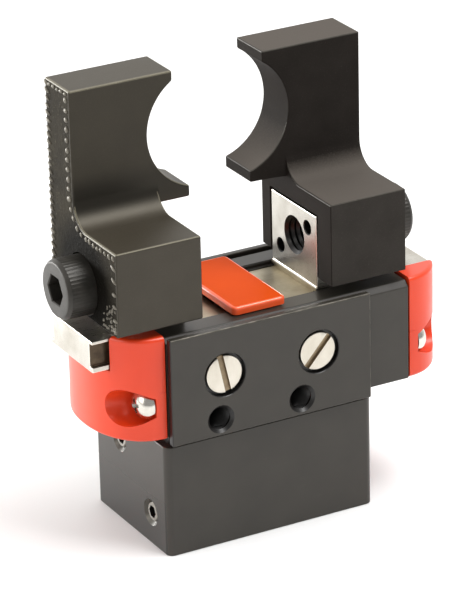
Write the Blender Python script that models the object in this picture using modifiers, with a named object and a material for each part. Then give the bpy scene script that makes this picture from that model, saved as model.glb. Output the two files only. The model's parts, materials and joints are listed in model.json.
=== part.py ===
"""Pneumatic two-jaw parallel gripper with printed fingers, one object for each separate piece.

Sizes in this file are millimetres and the scene is in metres. X is the jaws' travel, -Y is the front
face with the two slotted pivot heads, and +Z points from the base to the fingers. The origin is the
centre of the base. At rest the jaws are fully open and the piston is at the top of its stroke.
"""
import math

import bmesh
import bpy
from mathutils import Matrix, Vector

MM = 0.001
GAP = 0.3                       # air kept between two neighbouring pieces
ROUND = 32                      # facets round a large cylinder
SMALL_ROUND = 16                # facets round a small one
MERGE = 0.00001                 # metres

# Housing
CYLINDER_HALF_LENGTH = 25.0     # half of the lower cylinder block along X
CYLINDER_HALF_DEPTH = 16.5      # and along Y
CYLINDER_BLOCK_TOP = 25.3       # a narrower neck joins it to the guide above
CYLINDER_EDGE = 1.6             # rounding of the block's and the neck's upright edges
NECK_INSET = 0.6                # how far the neck stands inside the guide's faces
HALF_LENGTH = 24.0              # half of the plates along X, and the guide's left end
HALF_DEPTH = 16.1               # half of the guide along Y
GUIDE_BOTTOM = 27.3
GUIDE_TOP = 49.8
GUIDE_CHAMFER = 1.2
GUIDE_RIGHT = 34.5              # the guide overhangs the block on this side only
CHANNEL_FLOOR = 42.7
CHANNEL_HALF = 9.8
TONGUE_HALF = 8.7               # the guide tongues stand in to here
TONGUE_BOTTOM = 44.4
TONGUE_TOP = 49.0

# Face plates
PLATE_OUTER = 18.0
PLATE_INNER = HALF_DEPTH + GAP
PLATE_BOTTOM = 26.0
PLATE_TOP = 50.15
MOUNT_HOLE = 2.9                # radius of the tapped holes in the plates
MOUNT_HOLE_Z = 29.75
MOUNT_HOLE_END = 8.5            # the tapped holes reach in to here along Y
FRONT_HOLES_X = (-12.5, 7.05)

# Holes in the base
BASE_SCREW_X, BASE_SCREW_Y = 16.4, 12.2
BASE_DOWEL_X = 19.0
BASE_SCREW_RADIUS, BASE_SCREW_DEPTH = 2.1, 10.0
BASE_DOWEL_RADIUS, BASE_DOWEL_DEPTH = 2.0, 6.0

# Stroke and levers
STROKE = 5.0                    # travel of one jaw
PIVOT_X = 11.25
PIVOT_Z = 39.63
OUTER_ARM = 6.2
INNER_ARM = 6.0
REST_ANGLE = math.asin(STROKE / 2 / OUTER_ARM)
PISTON_STROKE = 2 * INNER_ARM * math.sin(REST_ANGLE)
LEVER_HALF = 2.0                # half of the levers' thickness along Y
HUB_RADIUS = 4.0
ARM_HALF = 1.1                  # half of an arm's width
BORE_CLEARANCE = 0.06           # between a lever's bore and its pivot pin
PIN_RADIUS = 2.5
PIN_END = 15.8                  # rear end of the pivot pins
PIN_HEAD = 4.22
PIN_HEAD_UNDER = 16.85          # inner side of the slotted heads
PIN_HEAD_TOP = 17.6             # their outer side, a little below the plates' faces
PIN_RECESS = 4.87
PIN_RECESS_FLOOR = 16.8
PIN_THREAD = 1.5                # radius of the rear screws' shanks
PIN_THREAD_END = 9.0
SLOT_WIDTH, SLOT_DEPTH = 1.4, 0.6
PIN_SLOT_TURN = {"left": -12, "right": 42}      # degrees from upright, seen from the front
REAR_SLOT_TURN = 30
LOBE_OUTER = 1.6
LOBE_INNER = 1.5

# Cylinder, from the base upwards
BORE_RADIUS = 12.5
PISTON_RADIUS = 12.2
SEAL_INNER, SEAL_OUTER = 10.9, 12.35            # seal rings of the piston and the end cap
SEAL_GROOVE = 10.6                              # radius of the floor of their grooves
ROD_RADIUS = 4.0
ROD_STEM, ROD_SPIGOT = 2.5, 2.0 # the rod's thin ends, in the piston and in the crosshead
NUT_CORNER = 4.04               # across the nut's corners, from its axis
RING_BOTTOM, RING_TOP = 1.1, 1.9
RING_GROOVE = 0.8               # depth of the retaining ring's groove
CAP_BOTTOM, CAP_TOP = 2.2, 4.8
CAP_BOSS = 6.0                  # radius of the boss that ends flush with the base
CAP_SEAL_BOTTOM, CAP_SEAL_TOP = 3.1, 3.9
SPRING_SEAT = 9.2               # radius of the recesses that the spring stands in
CAP_SEAT_FLOOR = 3.8
PISTON_BOTTOM, PISTON_TOP = 11.4, 15.7
PISTON_SEAT_FLOOR = 13.0
PISTON_SEAL_BOTTOM, PISTON_SEAL_TOP = 13.2, 14.3
BORE_TOP = 19.4
SEAL_BOTTOM, SEAL_TOP = 20.9, 22.7
BUSHING_BOTTOM = 24.3
CHAMBER_FLOOR = 31.0
CROSSHEAD_Z = PIVOT_Z + PISTON_STROKE / 2
CROSSHEAD_HALF_X, CROSSHEAD_HALF_Y, CROSSHEAD_HALF_Z = 6.6, 4.0, 3.6
CROSSHEAD_NOTCH_X = 3.4         # the notches for the levers' lobes start here
CROSSHEAD_ROOM = 0.4            # air round the crosshead and the levers
LEVER_ROOM_X, LEVER_ROOM_BOTTOM = 16.4, 34.5

# End covers
COVER_LENGTH = 11.7
COVER_BOTTOM, COVER_TOP = 27.2, 50.5
COVER_POWER = 2.15              # exponent of the cover's rounded plan
COVER_WALL, COVER_HOLLOW_HALF, COVER_HOLLOW_LENGTH = 1.8, 7.0, 9.3
SCREW_Y, SCREW_Z = 12.3, 34.8
SCREW_SEAT = 2.2                # from the cover's inner face to the screw pocket's floor
SCREW_POCKET, SCREW_HEAD, SCREW_HEAD_HEIGHT = 4.15, 3.5, 3.0
SCREW_SHANK, SCREW_LENGTH, SCREW_HOLE = 1.3, 9.3, 1.6
CROSS_LONG, CROSS_WIDE, CROSS_DEPTH = 1.8, 0.4, 1.2     # half sizes of the cross recess, and its depth

# Centre cover
CENTRE_HALF_X, CENTRE_HALF_Y, CENTRE_TOP, CENTRE_CORNER = 6.3, 13.2, 51.8, 1.2

# Jaws
JAW_BOTTOM, JAW_TOP = 43.0, 50.0
JAW_HALF = 9.5
GROOVE_HALF = 8.4
GROOVE_BOTTOM, GROOVE_TOP = 44.1, 49.3
JAW_INNER_TOP = 48.9            # the inner end passes under the centre cover
JAW_INNER_END = 5.5
TAB_INNER, TAB_OUTER = 15.93, 26.3
TAB_FRONT, TAB_BACK, TAB_TOP = -9.48, 9.7, 66.2
JAW_OUTER_END = {"left": 37.8, "right": 44.0}
HUB_ROOM_X, HUB_ROOM_TOP = 5.6, 43.9            # clearances under the slide: for a lever's hub,
LOBE_ROOM_X, LOBE_ROOM_TOP = 2.0, 47.8          # for its lobe,
RELIEF_END, RELIEF_TOP = 10.0, 46.2             # and for the crosshead

# Fingers, drawn for the right side and mirrored for the left
FINGER_INNER = {"left": 14.8, "right": TAB_INNER}
FINGER_OUTER = 34.27
FINGER_FRONT, FINGER_BACK = -15.67, 14.0
BLOCK_BOTTOM, BLOCK_TOP = 52.36, 70.9
ARM_FRONT, ARM_TOP = 3.02, 100.4
LIP_X, LIP_Z = 10.63, 98.1
HORN_X, HORN_BOTTOM, HORN_TOP = 7.27, 71.74, 74.25
GRIP_X, GRIP_Z = 3.6, 86.8      # centre of the gripping arc
FILLET = 5.5
FINGER_HOLE_Z = 59.0
FINGER_SCREW_FACE = {"left": 41.0, "right": 42.0}       # outer face of the M8 head
FINGER_SCREW_HEAD, FINGER_SCREW_HEIGHT = 6.5, 8.0
FINGER_SCREW_SHANK, FINGER_SCREW_END = 3.85, 21.0
FINGER_SCREW_HOLE, FINGER_SCREW_POCKET = 4.15, 6.8
HEX_CORNER, HEX_DEPTH = 3.46, 4.0
DOWEL_RADIUS = 1.5
DOWEL_HOLES = [(-5.64, 3.57), (5.99, -4.4)]     # Y and Z from the M8 hole, on the right tab


def clear_scene():
    for obj in list(bpy.data.objects):
        bpy.data.objects.remove(obj, do_unlink=True)


def new_collection(name):
    group = bpy.data.collections.new(name)
    bpy.context.scene.collection.children.link(group)
    return group


clear_scene()
PARTS = new_collection("pneumatic_gripper")
CUTTERS = new_collection("cutters")
FRAMES = new_collection("joint_frames")


# ---------------------------------------------------------------- materials

def make_material(name, colour, roughness, metallic):
    material = bpy.data.materials.new(name)
    material.use_nodes = True
    shader = material.node_tree.nodes["Principled BSDF"]
    shader.inputs["Base Color"].default_value = (*colour, 1.0)
    shader.inputs["Roughness"].default_value = roughness
    shader.inputs["Metallic"].default_value = metallic
    return material


BLACK_ANODISED = make_material("black_anodised", (0.045, 0.042, 0.038), 0.42, 0.3)
RED_PLASTIC = make_material("red_plastic", (0.83, 0.09, 0.035), 0.3, 0.0)
STEEL = make_material("ground_steel", (0.62, 0.60, 0.57), 0.3, 1.0)
ZINC = make_material("zinc_plated_steel", (0.72, 0.71, 0.69), 0.28, 1.0)
BLACK_STEEL = make_material("black_oxide_steel", (0.03, 0.03, 0.03), 0.4, 0.7)
PRINTED = make_material("printed_plastic", (0.05, 0.048, 0.042), 0.75, 0.0)
ALUMINIUM = make_material("aluminium", (0.7, 0.7, 0.7), 0.35, 1.0)
BRONZE = make_material("bronze", (0.55, 0.36, 0.16), 0.4, 1.0)
RUBBER = make_material("rubber", (0.02, 0.02, 0.02), 0.8, 0.0)
SPRING_STEEL = make_material("spring_steel", (0.45, 0.45, 0.46), 0.35, 1.0)


# ---------------------------------------------------------------- modelling tools

def place(name, mesh, material=None, matrix=None):
    """Adds a mesh as a part when it has a material, and as a hidden cutter when it hasn't."""
    obj = bpy.data.objects.new(name, mesh)
    if matrix is not None:
        obj.matrix_world = matrix
    if material is None:
        CUTTERS.objects.link(obj)
        obj.display_type = "WIRE"
        obj.hide_render = True
    else:
        PARTS.objects.link(obj)
        mesh.materials.append(material)
    return obj


def mesh_from(bm, name):
    """Turns a bmesh drawn in millimetres into a mesh in metres."""
    mesh = bpy.data.meshes.new(name)
    bmesh.ops.scale(bm, vec=(MM, MM, MM), verts=bm.verts)
    bmesh.ops.recalc_face_normals(bm, faces=bm.faces)
    bm.to_mesh(mesh)
    bm.free()
    return mesh


def smooth(mesh):
    mesh.shade_smooth()
    mesh.set_sharp_from_angle(angle=math.radians(35))
    return mesh


def box(name, low, high, material=None, turn=None):
    """Box between two corners; turn is an optional rotation about its centre."""
    low, high = Vector(low), Vector(high)
    bm = bmesh.new()
    bmesh.ops.create_cube(bm, size=1.0)
    bmesh.ops.scale(bm, vec=high - low, verts=bm.verts)
    if turn is not None:
        bmesh.ops.rotate(bm, matrix=turn, verts=bm.verts)
    bmesh.ops.translate(bm, vec=(low + high) / 2, verts=bm.verts)
    return place(name, mesh_from(bm, name), material)


def cylinder(name, radius, start, end, material=None, segments=SMALL_ROUND):
    """Cylinder, or prism for a low number of segments, from start to end."""
    start, end = Vector(start), Vector(end)
    along = end - start
    stand = Matrix.Translation((start + end) / 2) @ along.to_track_quat("Z", "Y").to_matrix().to_4x4()
    bm = bmesh.new()
    bmesh.ops.create_cone(bm, cap_ends=True, segments=segments, radius1=radius, radius2=radius,
                          depth=along.length, matrix=stand)
    return place(name, smooth(mesh_from(bm, name)), material)


def turned(name, profile, material=None, base=(0, 0, 0), axis=(0, 0, 1), segments=ROUND):
    """Turned solid. The profile's (radius, height) points run down the outer side; a profile that
    starts off the axis is a ring and is closed on itself."""
    mesh = bpy.data.meshes.new(name)
    verts = [(radius * MM, 0, height * MM) for radius, height in profile]
    edges = [(i, i + 1) for i in range(len(verts) - 1)]
    if profile[0][0] > 0:
        edges.append((len(verts) - 1, 0))
    mesh.from_pydata(verts, edges, [])
    turn = Vector(axis).to_track_quat("Z", "Y").to_matrix().to_4x4()
    obj = place(name, mesh, material, Matrix.Translation(Vector(base) * MM) @ turn)
    screw = obj.modifiers.new("Turn", "SCREW")
    screw.axis = "Z"
    screw.steps = segments
    screw.render_steps = segments
    screw.use_merge_vertices = True
    screw.merge_threshold = MERGE
    return obj


def ring_profile(inner, outer, bottom, top):
    return [(inner, top), (outer, top), (outer, bottom), (inner, bottom)]


PLANES = {
    "XY": Matrix(((1, 0, 0), (0, 1, 0), (0, 0, 1))).to_4x4(),
    "XZ": Matrix(((1, 0, 0), (0, 0, -1), (0, 1, 0))).to_4x4(),
    "YZ": Matrix(((0, 0, 1), (1, 0, 0), (0, 1, 0))).to_4x4(),
}


def prism(name, outline, plane, low, high, material=None):
    """Flat outline in the named plane, extruded along the third axis from low to high."""
    curve = bpy.data.curves.new(name, "CURVE")
    curve.dimensions = "2D"
    curve.fill_mode = "BOTH"
    curve.extrude = (high - low) / 2
    spline = curve.splines.new("POLY")
    spline.points.add(len(outline) - 1)
    for point, (u, v) in zip(spline.points, outline):
        point.co = (u, v, 0, 1)
    spline.use_cyclic_u = True
    holder = bpy.data.objects.new(name + "_outline", curve)
    CUTTERS.objects.link(holder)
    flat = bpy.data.meshes.new_from_object(holder.evaluated_get(bpy.context.evaluated_depsgraph_get()))
    bpy.data.objects.remove(holder)
    middle = (low + high) / 2
    if plane == "XZ":
        middle = -middle
    bm = bmesh.new()
    bm.from_mesh(flat)
    bmesh.ops.remove_doubles(bm, verts=bm.verts, dist=0.001)
    for cap_height in (-curve.extrude, curve.extrude):
        cap = [face for face in bm.faces if all(abs(v.co.z - cap_height) < 0.001 for v in face.verts)]
        bmesh.ops.dissolve_faces(bm, faces=cap)
    bmesh.ops.transform(bm, matrix=PLANES[plane] @ Matrix.Translation((0, 0, middle)), verts=bm.verts)
    return place(name, smooth(mesh_from(bm, name)), material)


def boolean(obj, tool, operation):
    modifier = obj.modifiers.new(tool.name, "BOOLEAN")
    modifier.object = tool
    modifier.operation = operation
    modifier.solver = "EXACT"
    return obj


def cut(obj, *tools):
    for tool in tools:
        boolean(obj, tool, "DIFFERENCE")
    return obj


def fuse(obj, *tools):
    for tool in tools:
        boolean(obj, tool, "UNION")
    return obj


def joint_frame(name, point, pieces):
    """Empty on a joint's axis that carries the pieces of one moving body."""
    empty = bpy.data.objects.new(name, None)
    empty.location = Vector(point) * MM
    FRAMES.objects.link(empty)
    for piece in pieces:
        piece.parent = empty
        piece.matrix_parent_inverse = Matrix.Translation(empty.location).inverted()


SIDES = {"left": -1, "right": 1}


def span(side, near, far):
    """The X limits, in order, of something that reaches from near to far on one side."""
    return tuple(sorted((SIDES[side] * near, SIDES[side] * far)))


def side_box(name, side, x, y, z, material=None):
    low_x, high_x = span(side, *x)
    return box(name, (low_x, y[0], z[0]), (high_x, y[1], z[1]), material)


# ---------------------------------------------------------------- housing

def rounded_rectangle(half_x, half_y, radius, steps=3):
    points = []
    for quarter, (sx, sy) in enumerate(((1, 1), (-1, 1), (-1, -1), (1, -1))):
        for step in range(steps + 1):
            angle = math.radians(90 * (quarter + step / steps))
            points.append((sx * (half_x - radius) + radius * math.cos(angle),
                           sy * (half_y - radius) + radius * math.sin(angle)))
    return points


def guide_outline():
    half, top, edge = HALF_DEPTH, GUIDE_TOP, GUIDE_CHAMFER
    return [(-half, GUIDE_BOTTOM), (half, GUIDE_BOTTOM), (half, top - edge), (half - edge, top),
            (edge - half, top), (-half, top - edge)]


def channel_outline():
    """Half of the slideway's section, then its mirror image."""
    right = [(CHANNEL_HALF, CHANNEL_FLOOR), (CHANNEL_HALF, TONGUE_BOTTOM), (TONGUE_HALF, TONGUE_BOTTOM),
             (TONGUE_HALF, TONGUE_TOP), (CHANNEL_HALF, TONGUE_TOP), (CHANNEL_HALF, COVER_TOP + 1)]
    return right + [(-y, z) for y, z in reversed(right)]


PORTS = [(-1, -8.6, 7.4), (-1, 5.0, 19.3), (1, 8.6, 7.4), (1, -5.0, 19.3)]   # side, Y, Z
PORT_RADIUS, PORT_CHAMFER, PORT_DEPTH = 2.5, 0.6, 6.5
PORT_DRILL, PORT_END = 1.25, 9.0


def port_cutter(index, side, y, z):
    outside = CYLINDER_HALF_LENGTH + 1
    floor = CYLINDER_HALF_LENGTH - PORT_DEPTH
    profile = [(0, outside), (PORT_RADIUS + PORT_CHAMFER + 1, outside),
               (PORT_RADIUS, CYLINDER_HALF_LENGTH - PORT_CHAMFER), (PORT_RADIUS, floor),
               (PORT_DRILL, floor), (PORT_DRILL, PORT_END), (0, PORT_END)]
    return turned(f"cut_port_{index}", profile, None, (0, y, z), (side, 0, 0), SMALL_ROUND)


def cylinder_cutter():
    """The stepped bore from the base up to the lever chamber."""
    seat, groove, clearance = 5.9, 6.4, ROD_RADIUS + GAP
    profile = [(0, CHAMBER_FLOOR + 1), (seat, CHAMBER_FLOOR + 1), (seat, BUSHING_BOTTOM - GAP),
               (clearance, BUSHING_BOTTOM - GAP), (clearance, SEAL_TOP + GAP), (groove, SEAL_TOP + GAP),
               (groove, SEAL_BOTTOM - GAP), (clearance, SEAL_BOTTOM - GAP), (clearance, BORE_TOP),
               (BORE_RADIUS, BORE_TOP), (BORE_RADIUS, RING_TOP + GAP),
               (BORE_RADIUS + RING_GROOVE, RING_TOP + GAP), (BORE_RADIUS + RING_GROOVE, RING_BOTTOM - GAP),
               (BORE_RADIUS, RING_BOTTOM - GAP), (BORE_RADIUS, -1), (0, -1)]
    return turned("cut_bore", profile)


def make_body():
    block = rounded_rectangle(CYLINDER_HALF_LENGTH, CYLINDER_HALF_DEPTH, CYLINDER_EDGE)
    neck = rounded_rectangle(HALF_LENGTH - NECK_INSET, HALF_DEPTH - NECK_INSET, CYLINDER_EDGE)
    body = prism("gripper_body", block, "XY", 0, CYLINDER_BLOCK_TOP, BLACK_ANODISED)
    fuse(body, prism("join_neck", neck, "XY", CYLINDER_BLOCK_TOP - 2, GUIDE_BOTTOM + 2))
    fuse(body, prism("join_guide", guide_outline(), "YZ", -HALF_LENGTH, GUIDE_RIGHT))
    cut(body, prism("cut_channel", channel_outline(), "YZ", -HALF_LENGTH - 1, GUIDE_RIGHT + 1))
    cut(body, cylinder_cutter())
    half_x, half_y = CROSSHEAD_HALF_X + CROSSHEAD_ROOM, CROSSHEAD_HALF_Y + CROSSHEAD_ROOM
    cut(body, box("cut_crosshead_room", (-half_x, -half_y, CHAMBER_FLOOR),
                  (half_x, half_y, CHANNEL_FLOOR + 1)))
    half_y = LEVER_HALF + CROSSHEAD_ROOM
    cut(body, box("cut_lever_room", (-LEVER_ROOM_X, -half_y, LEVER_ROOM_BOTTOM),
                  (LEVER_ROOM_X, half_y, CHANNEL_FLOOR + 1)))
    outside = HALF_DEPTH + 4
    for side, sign in SIDES.items():
        pin_x = sign * PIVOT_X
        cut(body, cylinder(f"cut_pivot_{side}", PIN_RADIUS + GAP, (pin_x, -outside, PIVOT_Z),
                           (pin_x, outside, PIVOT_Z)))
    for index, port in enumerate(PORTS):
        cut(body, port_cutter(index, *port))
    for end, y_sign in (("front", -1), ("rear", 1)):
        for index, hole_x in enumerate(FRONT_HOLES_X):
            hole_x = -y_sign * hole_x
            cut(body, cylinder(f"cut_{end}_mount_{index}", MOUNT_HOLE,
                               (hole_x, y_sign * MOUNT_HOLE_END, MOUNT_HOLE_Z),
                               (hole_x, y_sign * outside, MOUNT_HOLE_Z)))
        screw_reach = SCREW_LENGTH - SCREW_SEAT + 2 * GAP
        for face, inward in ((-HALF_LENGTH, 1), (GUIDE_RIGHT, -1)):
            y = y_sign * SCREW_Y
            cut(body, cylinder(f"cut_cover_screw_{end}_{inward}", SCREW_HOLE, (face - inward, y, SCREW_Z),
                               (face + screw_reach * inward, y, SCREW_Z)))
        for sign in (-1, 1):
            x, y = sign * BASE_SCREW_X, y_sign * BASE_SCREW_Y
            cut(body, cylinder(f"cut_base_{end}_{sign}", BASE_SCREW_RADIUS, (x, y, -1),
                               (x, y, BASE_SCREW_DEPTH)))
    for sign in (-1, 1):
        x = sign * BASE_DOWEL_X
        cut(body, cylinder(f"cut_base_dowel_{sign}", BASE_DOWEL_RADIUS, (x, 0, -1),
                           (x, 0, BASE_DOWEL_DEPTH)))
    return body


def make_plate(name, y_sign):
    """Face plate with two stepped pivot holes and two tapped mounting holes."""
    low_y, high_y = sorted((y_sign * PLATE_INNER, y_sign * PLATE_OUTER))
    plate = box(name, (-HALF_LENGTH, low_y, PLATE_BOTTOM), (HALF_LENGTH, high_y, PLATE_TOP), BLACK_ANODISED)
    inside, outside = PLATE_INNER - 1, PLATE_OUTER + 1
    for side, sign in SIDES.items():
        x = sign * PIVOT_X
        cut(plate, cylinder(f"cut_{name}_recess_{side}", PIN_RECESS,
                            (x, y_sign * PIN_RECESS_FLOOR, PIVOT_Z), (x, y_sign * outside, PIVOT_Z),
                            segments=ROUND))
        cut(plate, cylinder(f"cut_{name}_pivot_{side}", PIN_RADIUS + GAP, (x, y_sign * inside, PIVOT_Z),
                            (x, y_sign * PIN_HEAD_UNDER, PIVOT_Z)))
    for index, hole_x in enumerate(FRONT_HOLES_X):
        hole_x = -y_sign * hole_x
        cut(plate, cylinder(f"cut_{name}_mount_{index}", MOUNT_HOLE,
                            (hole_x, y_sign * inside, MOUNT_HOLE_Z), (hole_x, y_sign * outside, MOUNT_HOLE_Z)))
    return plate


def screwdriver_slot(name, x, y, angle):
    """Slot across a pivot head whose outer face is at y."""
    middle_y = y                # so that the box turns about the head's own axis
    half_x, half_z = SLOT_WIDTH / 2, PIN_HEAD + 1
    turn = Matrix.Rotation(math.radians(angle), 3, "Y")
    return box(name, (x - half_x, middle_y - SLOT_DEPTH, PIVOT_Z - half_z),
               (x + half_x, middle_y + SLOT_DEPTH, PIVOT_Z + half_z), None, turn)


def make_pivot(side):
    """Pivot pin with a slotted head at the front and a tapped end at the back, and its rear screw."""
    x = SIDES[side] * PIVOT_X
    bevel = 0.2
    head = [(0, PIN_HEAD_TOP), (PIN_HEAD - bevel, PIN_HEAD_TOP), (PIN_HEAD, PIN_HEAD_TOP - bevel),
            (PIN_HEAD, PIN_HEAD_UNDER)]
    shaft = [(PIN_RADIUS, PIN_HEAD_UNDER), (PIN_RADIUS, -PIN_END), (0, -PIN_END)]
    pin = turned(f"pivot_pin_{side}", head + shaft, STEEL, (x, 0, PIVOT_Z), (0, -1, 0))
    cut(pin, screwdriver_slot(f"cut_slot_{side}", x, -PIN_HEAD_TOP, PIN_SLOT_TURN[side]))
    cut(pin, cylinder(f"cut_pin_thread_{side}", PIN_THREAD + GAP, (x, PIN_THREAD_END - 1, PIVOT_Z),
                      (x, PIN_END + 1, PIVOT_Z)))
    shank = [(PIN_THREAD, PIN_HEAD_UNDER), (PIN_THREAD, PIN_THREAD_END), (0, PIN_THREAD_END)]
    screw = turned(f"pivot_screw_{side}", head + shank, STEEL, (x, 0, PIVOT_Z), (0, 1, 0))
    cut(screw, screwdriver_slot(f"cut_rear_slot_{side}", x, PIN_HEAD_TOP, REAR_SLOT_TURN))


# ---------------------------------------------------------------- cylinder

def groove(bottom, top):
    """Points of a seal's groove in the wall of the piston or the end cap, from its top down."""
    return [(PISTON_RADIUS, top + GAP), (SEAL_GROOVE, top + GAP), (SEAL_GROOVE, bottom - GAP),
            (PISTON_RADIUS, bottom - GAP)]


def make_cylinder_parts():
    profile = [(0, CAP_SEAT_FLOOR), (SPRING_SEAT, CAP_SEAT_FLOOR), (SPRING_SEAT, CAP_TOP),
               (PISTON_RADIUS, CAP_TOP), *groove(CAP_SEAL_BOTTOM, CAP_SEAL_TOP),
               (PISTON_RADIUS, CAP_BOTTOM), (CAP_BOSS, CAP_BOTTOM), (CAP_BOSS, 0), (0, 0)]
    end_cap = turned("end_cap", profile, ALUMINIUM)
    turned("end_cap_seal", ring_profile(SEAL_INNER, SEAL_OUTER, CAP_SEAL_BOTTOM, CAP_SEAL_TOP), RUBBER)
    ring_outer = BORE_RADIUS + RING_GROOVE - GAP
    profile = ring_profile(SEAL_INNER, ring_outer, RING_BOTTOM, RING_TOP)
    ring = turned("retaining_ring", profile, SPRING_STEEL)
    half_gap = 3.0
    cut(ring, box("cut_ring_gap", (-half_gap, SEAL_INNER - 3, RING_BOTTOM - 1),
                  (half_gap, ring_outer + 2, RING_TOP + 1)))
    vent_x, vent_y, vent_radius = 7.6, 0.1, 1.0
    for sign in (-1, 1):
        x = sign * vent_x
        cut(end_cap, cylinder(f"cut_cap_vent_{sign}", vent_radius, (x, vent_y, CAP_BOTTOM - 1.2),
                              (x, vent_y, CAP_TOP + 1.2), segments=12))
    turned("rod_bushing", ring_profile(ROD_RADIUS + 0.1, 5.6, BUSHING_BOTTOM, CHAMBER_FLOOR - GAP), BRONZE)
    turned("rod_seal", ring_profile(ROD_RADIUS + 0.15, 6.1, SEAL_BOTTOM, SEAL_TOP), RUBBER)


def make_piston():
    top, bottom = PISTON_TOP, PISTON_BOTTOM
    profile = [(ROD_STEM + GAP, top), (PISTON_RADIUS, top), *groove(PISTON_SEAL_BOTTOM, PISTON_SEAL_TOP),
               (PISTON_RADIUS, bottom), (SPRING_SEAT, bottom), (SPRING_SEAT, PISTON_SEAT_FLOOR),
               (ROD_STEM + GAP, PISTON_SEAT_FLOOR)]
    piston = turned("piston", profile, ALUMINIUM)
    profile = ring_profile(SEAL_INNER, SEAL_OUTER, PISTON_SEAL_BOTTOM, PISTON_SEAL_TOP)
    seal = turned("piston_seal", profile, RUBBER)
    shoulder = top + GAP
    under_crosshead = CROSSHEAD_Z - CROSSHEAD_HALF_Z - GAP
    spigot_top = under_crosshead + 3
    rod = turned("piston_rod", [(0, spigot_top), (ROD_SPIGOT, spigot_top), (ROD_SPIGOT, under_crosshead),
                                (ROD_RADIUS, under_crosshead), (ROD_RADIUS, shoulder), (ROD_STEM, shoulder),
                                (ROD_STEM, bottom), (0, bottom)], STEEL)
    nut = cylinder("piston_nut", NUT_CORNER, (0, 0, bottom + 0.1), (0, 0, PISTON_SEAT_FLOOR - GAP),
                   ZINC, segments=6)
    cut(nut, cylinder("cut_nut_thread", ROD_STEM + GAP, (0, 0, bottom - 1), (0, 0, PISTON_SEAT_FLOOR)))
    x, y, z = CROSSHEAD_HALF_X, CROSSHEAD_HALF_Y, CROSSHEAD_HALF_Z
    crosshead = box("crosshead", (-x, -y, CROSSHEAD_Z - z), (x, y, CROSSHEAD_Z + z), STEEL)
    for side in SIDES:
        cut(crosshead, side_box(f"cut_crosshead_{side}", side, (CROSSHEAD_NOTCH_X, x + 1), (-y - 1, y + 1),
                                (CROSSHEAD_Z - z / 2, CROSSHEAD_Z + z / 2)))
    cut(crosshead, cylinder("cut_crosshead_thread", ROD_SPIGOT + GAP, (0, 0, CROSSHEAD_Z - z - 1),
                            (0, 0, spigot_top + GAP)))
    joint_frame("piston_frame", (0, 0, bottom), [piston, seal, rod, nut, crosshead])


def make_spring():
    """Compression spring between the end cap and the piston."""
    turns, points_per_turn, mean_radius, wire = 2.75, 16, 7.6, 0.5
    low, high = CAP_SEAT_FLOOR + GAP + wire, PISTON_SEAT_FLOOR - GAP - wire
    curve = bpy.data.curves.new("return_spring", "CURVE")
    curve.dimensions = "3D"
    curve.bevel_depth = wire * MM
    curve.bevel_resolution = 2
    curve.use_fill_caps = True
    spline = curve.splines.new("POLY")
    count = int(turns * points_per_turn)
    spline.points.add(count)
    for index, point in enumerate(spline.points):
        angle = 2 * math.pi * index / points_per_turn
        height = low + (high - low) * index / count
        point.co = (mean_radius * math.cos(angle) * MM, mean_radius * math.sin(angle) * MM, height * MM, 1)
    spring = bpy.data.objects.new("return_spring", curve)
    curve.materials.append(SPRING_STEEL)
    PARTS.objects.link(spring)


# ---------------------------------------------------------------- levers

def bar(name, start, end, half_width, half_depth):
    """Straight arm in the XZ plane between two (x, z) points."""
    start, end = Vector((start[0], 0, start[1])), Vector((end[0], 0, end[1]))
    along = end - start
    turn = Matrix.Rotation(math.atan2(along.x, along.z), 3, "Y")
    middle, half = (start + end) / 2, Vector((half_width, half_depth, along.length / 2))
    return box(name, middle - half, middle + half, None, turn)


def make_lever(side):
    """Bell crank: one lobe drives the jaw, the other follows the crosshead."""
    sign = SIDES[side]
    pivot = (sign * PIVOT_X, PIVOT_Z)
    across, along = math.cos(REST_ANGLE), math.sin(REST_ANGLE)
    jaw_lobe = (pivot[0] + sign * OUTER_ARM * along, PIVOT_Z + OUTER_ARM * across)
    rod_lobe = (pivot[0] - sign * INNER_ARM * across, PIVOT_Z + INNER_ARM * along)
    half = LEVER_HALF
    lever = cylinder(f"lever_{side}", HUB_RADIUS, (pivot[0], -half, pivot[1]),
                     (pivot[0], half, pivot[1]), STEEL)
    for name, (x, z), radius in (("jaw", jaw_lobe, LOBE_OUTER), ("rod", rod_lobe, LOBE_INNER)):
        fuse(lever, bar(f"join_{name}_arm_{side}", pivot, (x, z), ARM_HALF, half * 0.9),
             cylinder(f"join_{name}_lobe_{side}", radius, (x, -half, z), (x, half, z)))
    cut(lever, cylinder(f"cut_lever_bore_{side}", PIN_RADIUS + BORE_CLEARANCE,
                        (pivot[0], -half - 2, pivot[1]), (pivot[0], half + 2, pivot[1])))
    joint_frame(f"lever_{side}_frame", (pivot[0], 0, pivot[1]), [lever])


# ---------------------------------------------------------------- end covers and centre cover

def cover_outline(steps=24):
    """Rounded plan of an end cover: (distance from its inner face, Y)."""
    points = []
    for step in range(steps + 1):
        angle = math.pi * (step / steps - 0.5)
        out, across = math.cos(angle), math.sin(angle)
        points.append((COVER_LENGTH * abs(out) ** (2 / COVER_POWER),
                       HALF_DEPTH * math.copysign(abs(across) ** (2 / COVER_POWER), across)))
    points[0], points[-1] = (0, -HALF_DEPTH), (0, HALF_DEPTH)
    return points


def pan_head(under, steps=5, rim=0.3):
    """Outline of a pan head's dome above its short upright rim, from the axis outwards."""
    points = []
    for step in range(steps + 1):
        angle = math.radians(90 * step / steps)
        dome = (SCREW_HEAD_HEIGHT - rim) * math.cos(angle)
        points.append((SCREW_HEAD * math.sin(angle), under + rim + dome))
    return points + [(SCREW_HEAD, under)]


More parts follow.
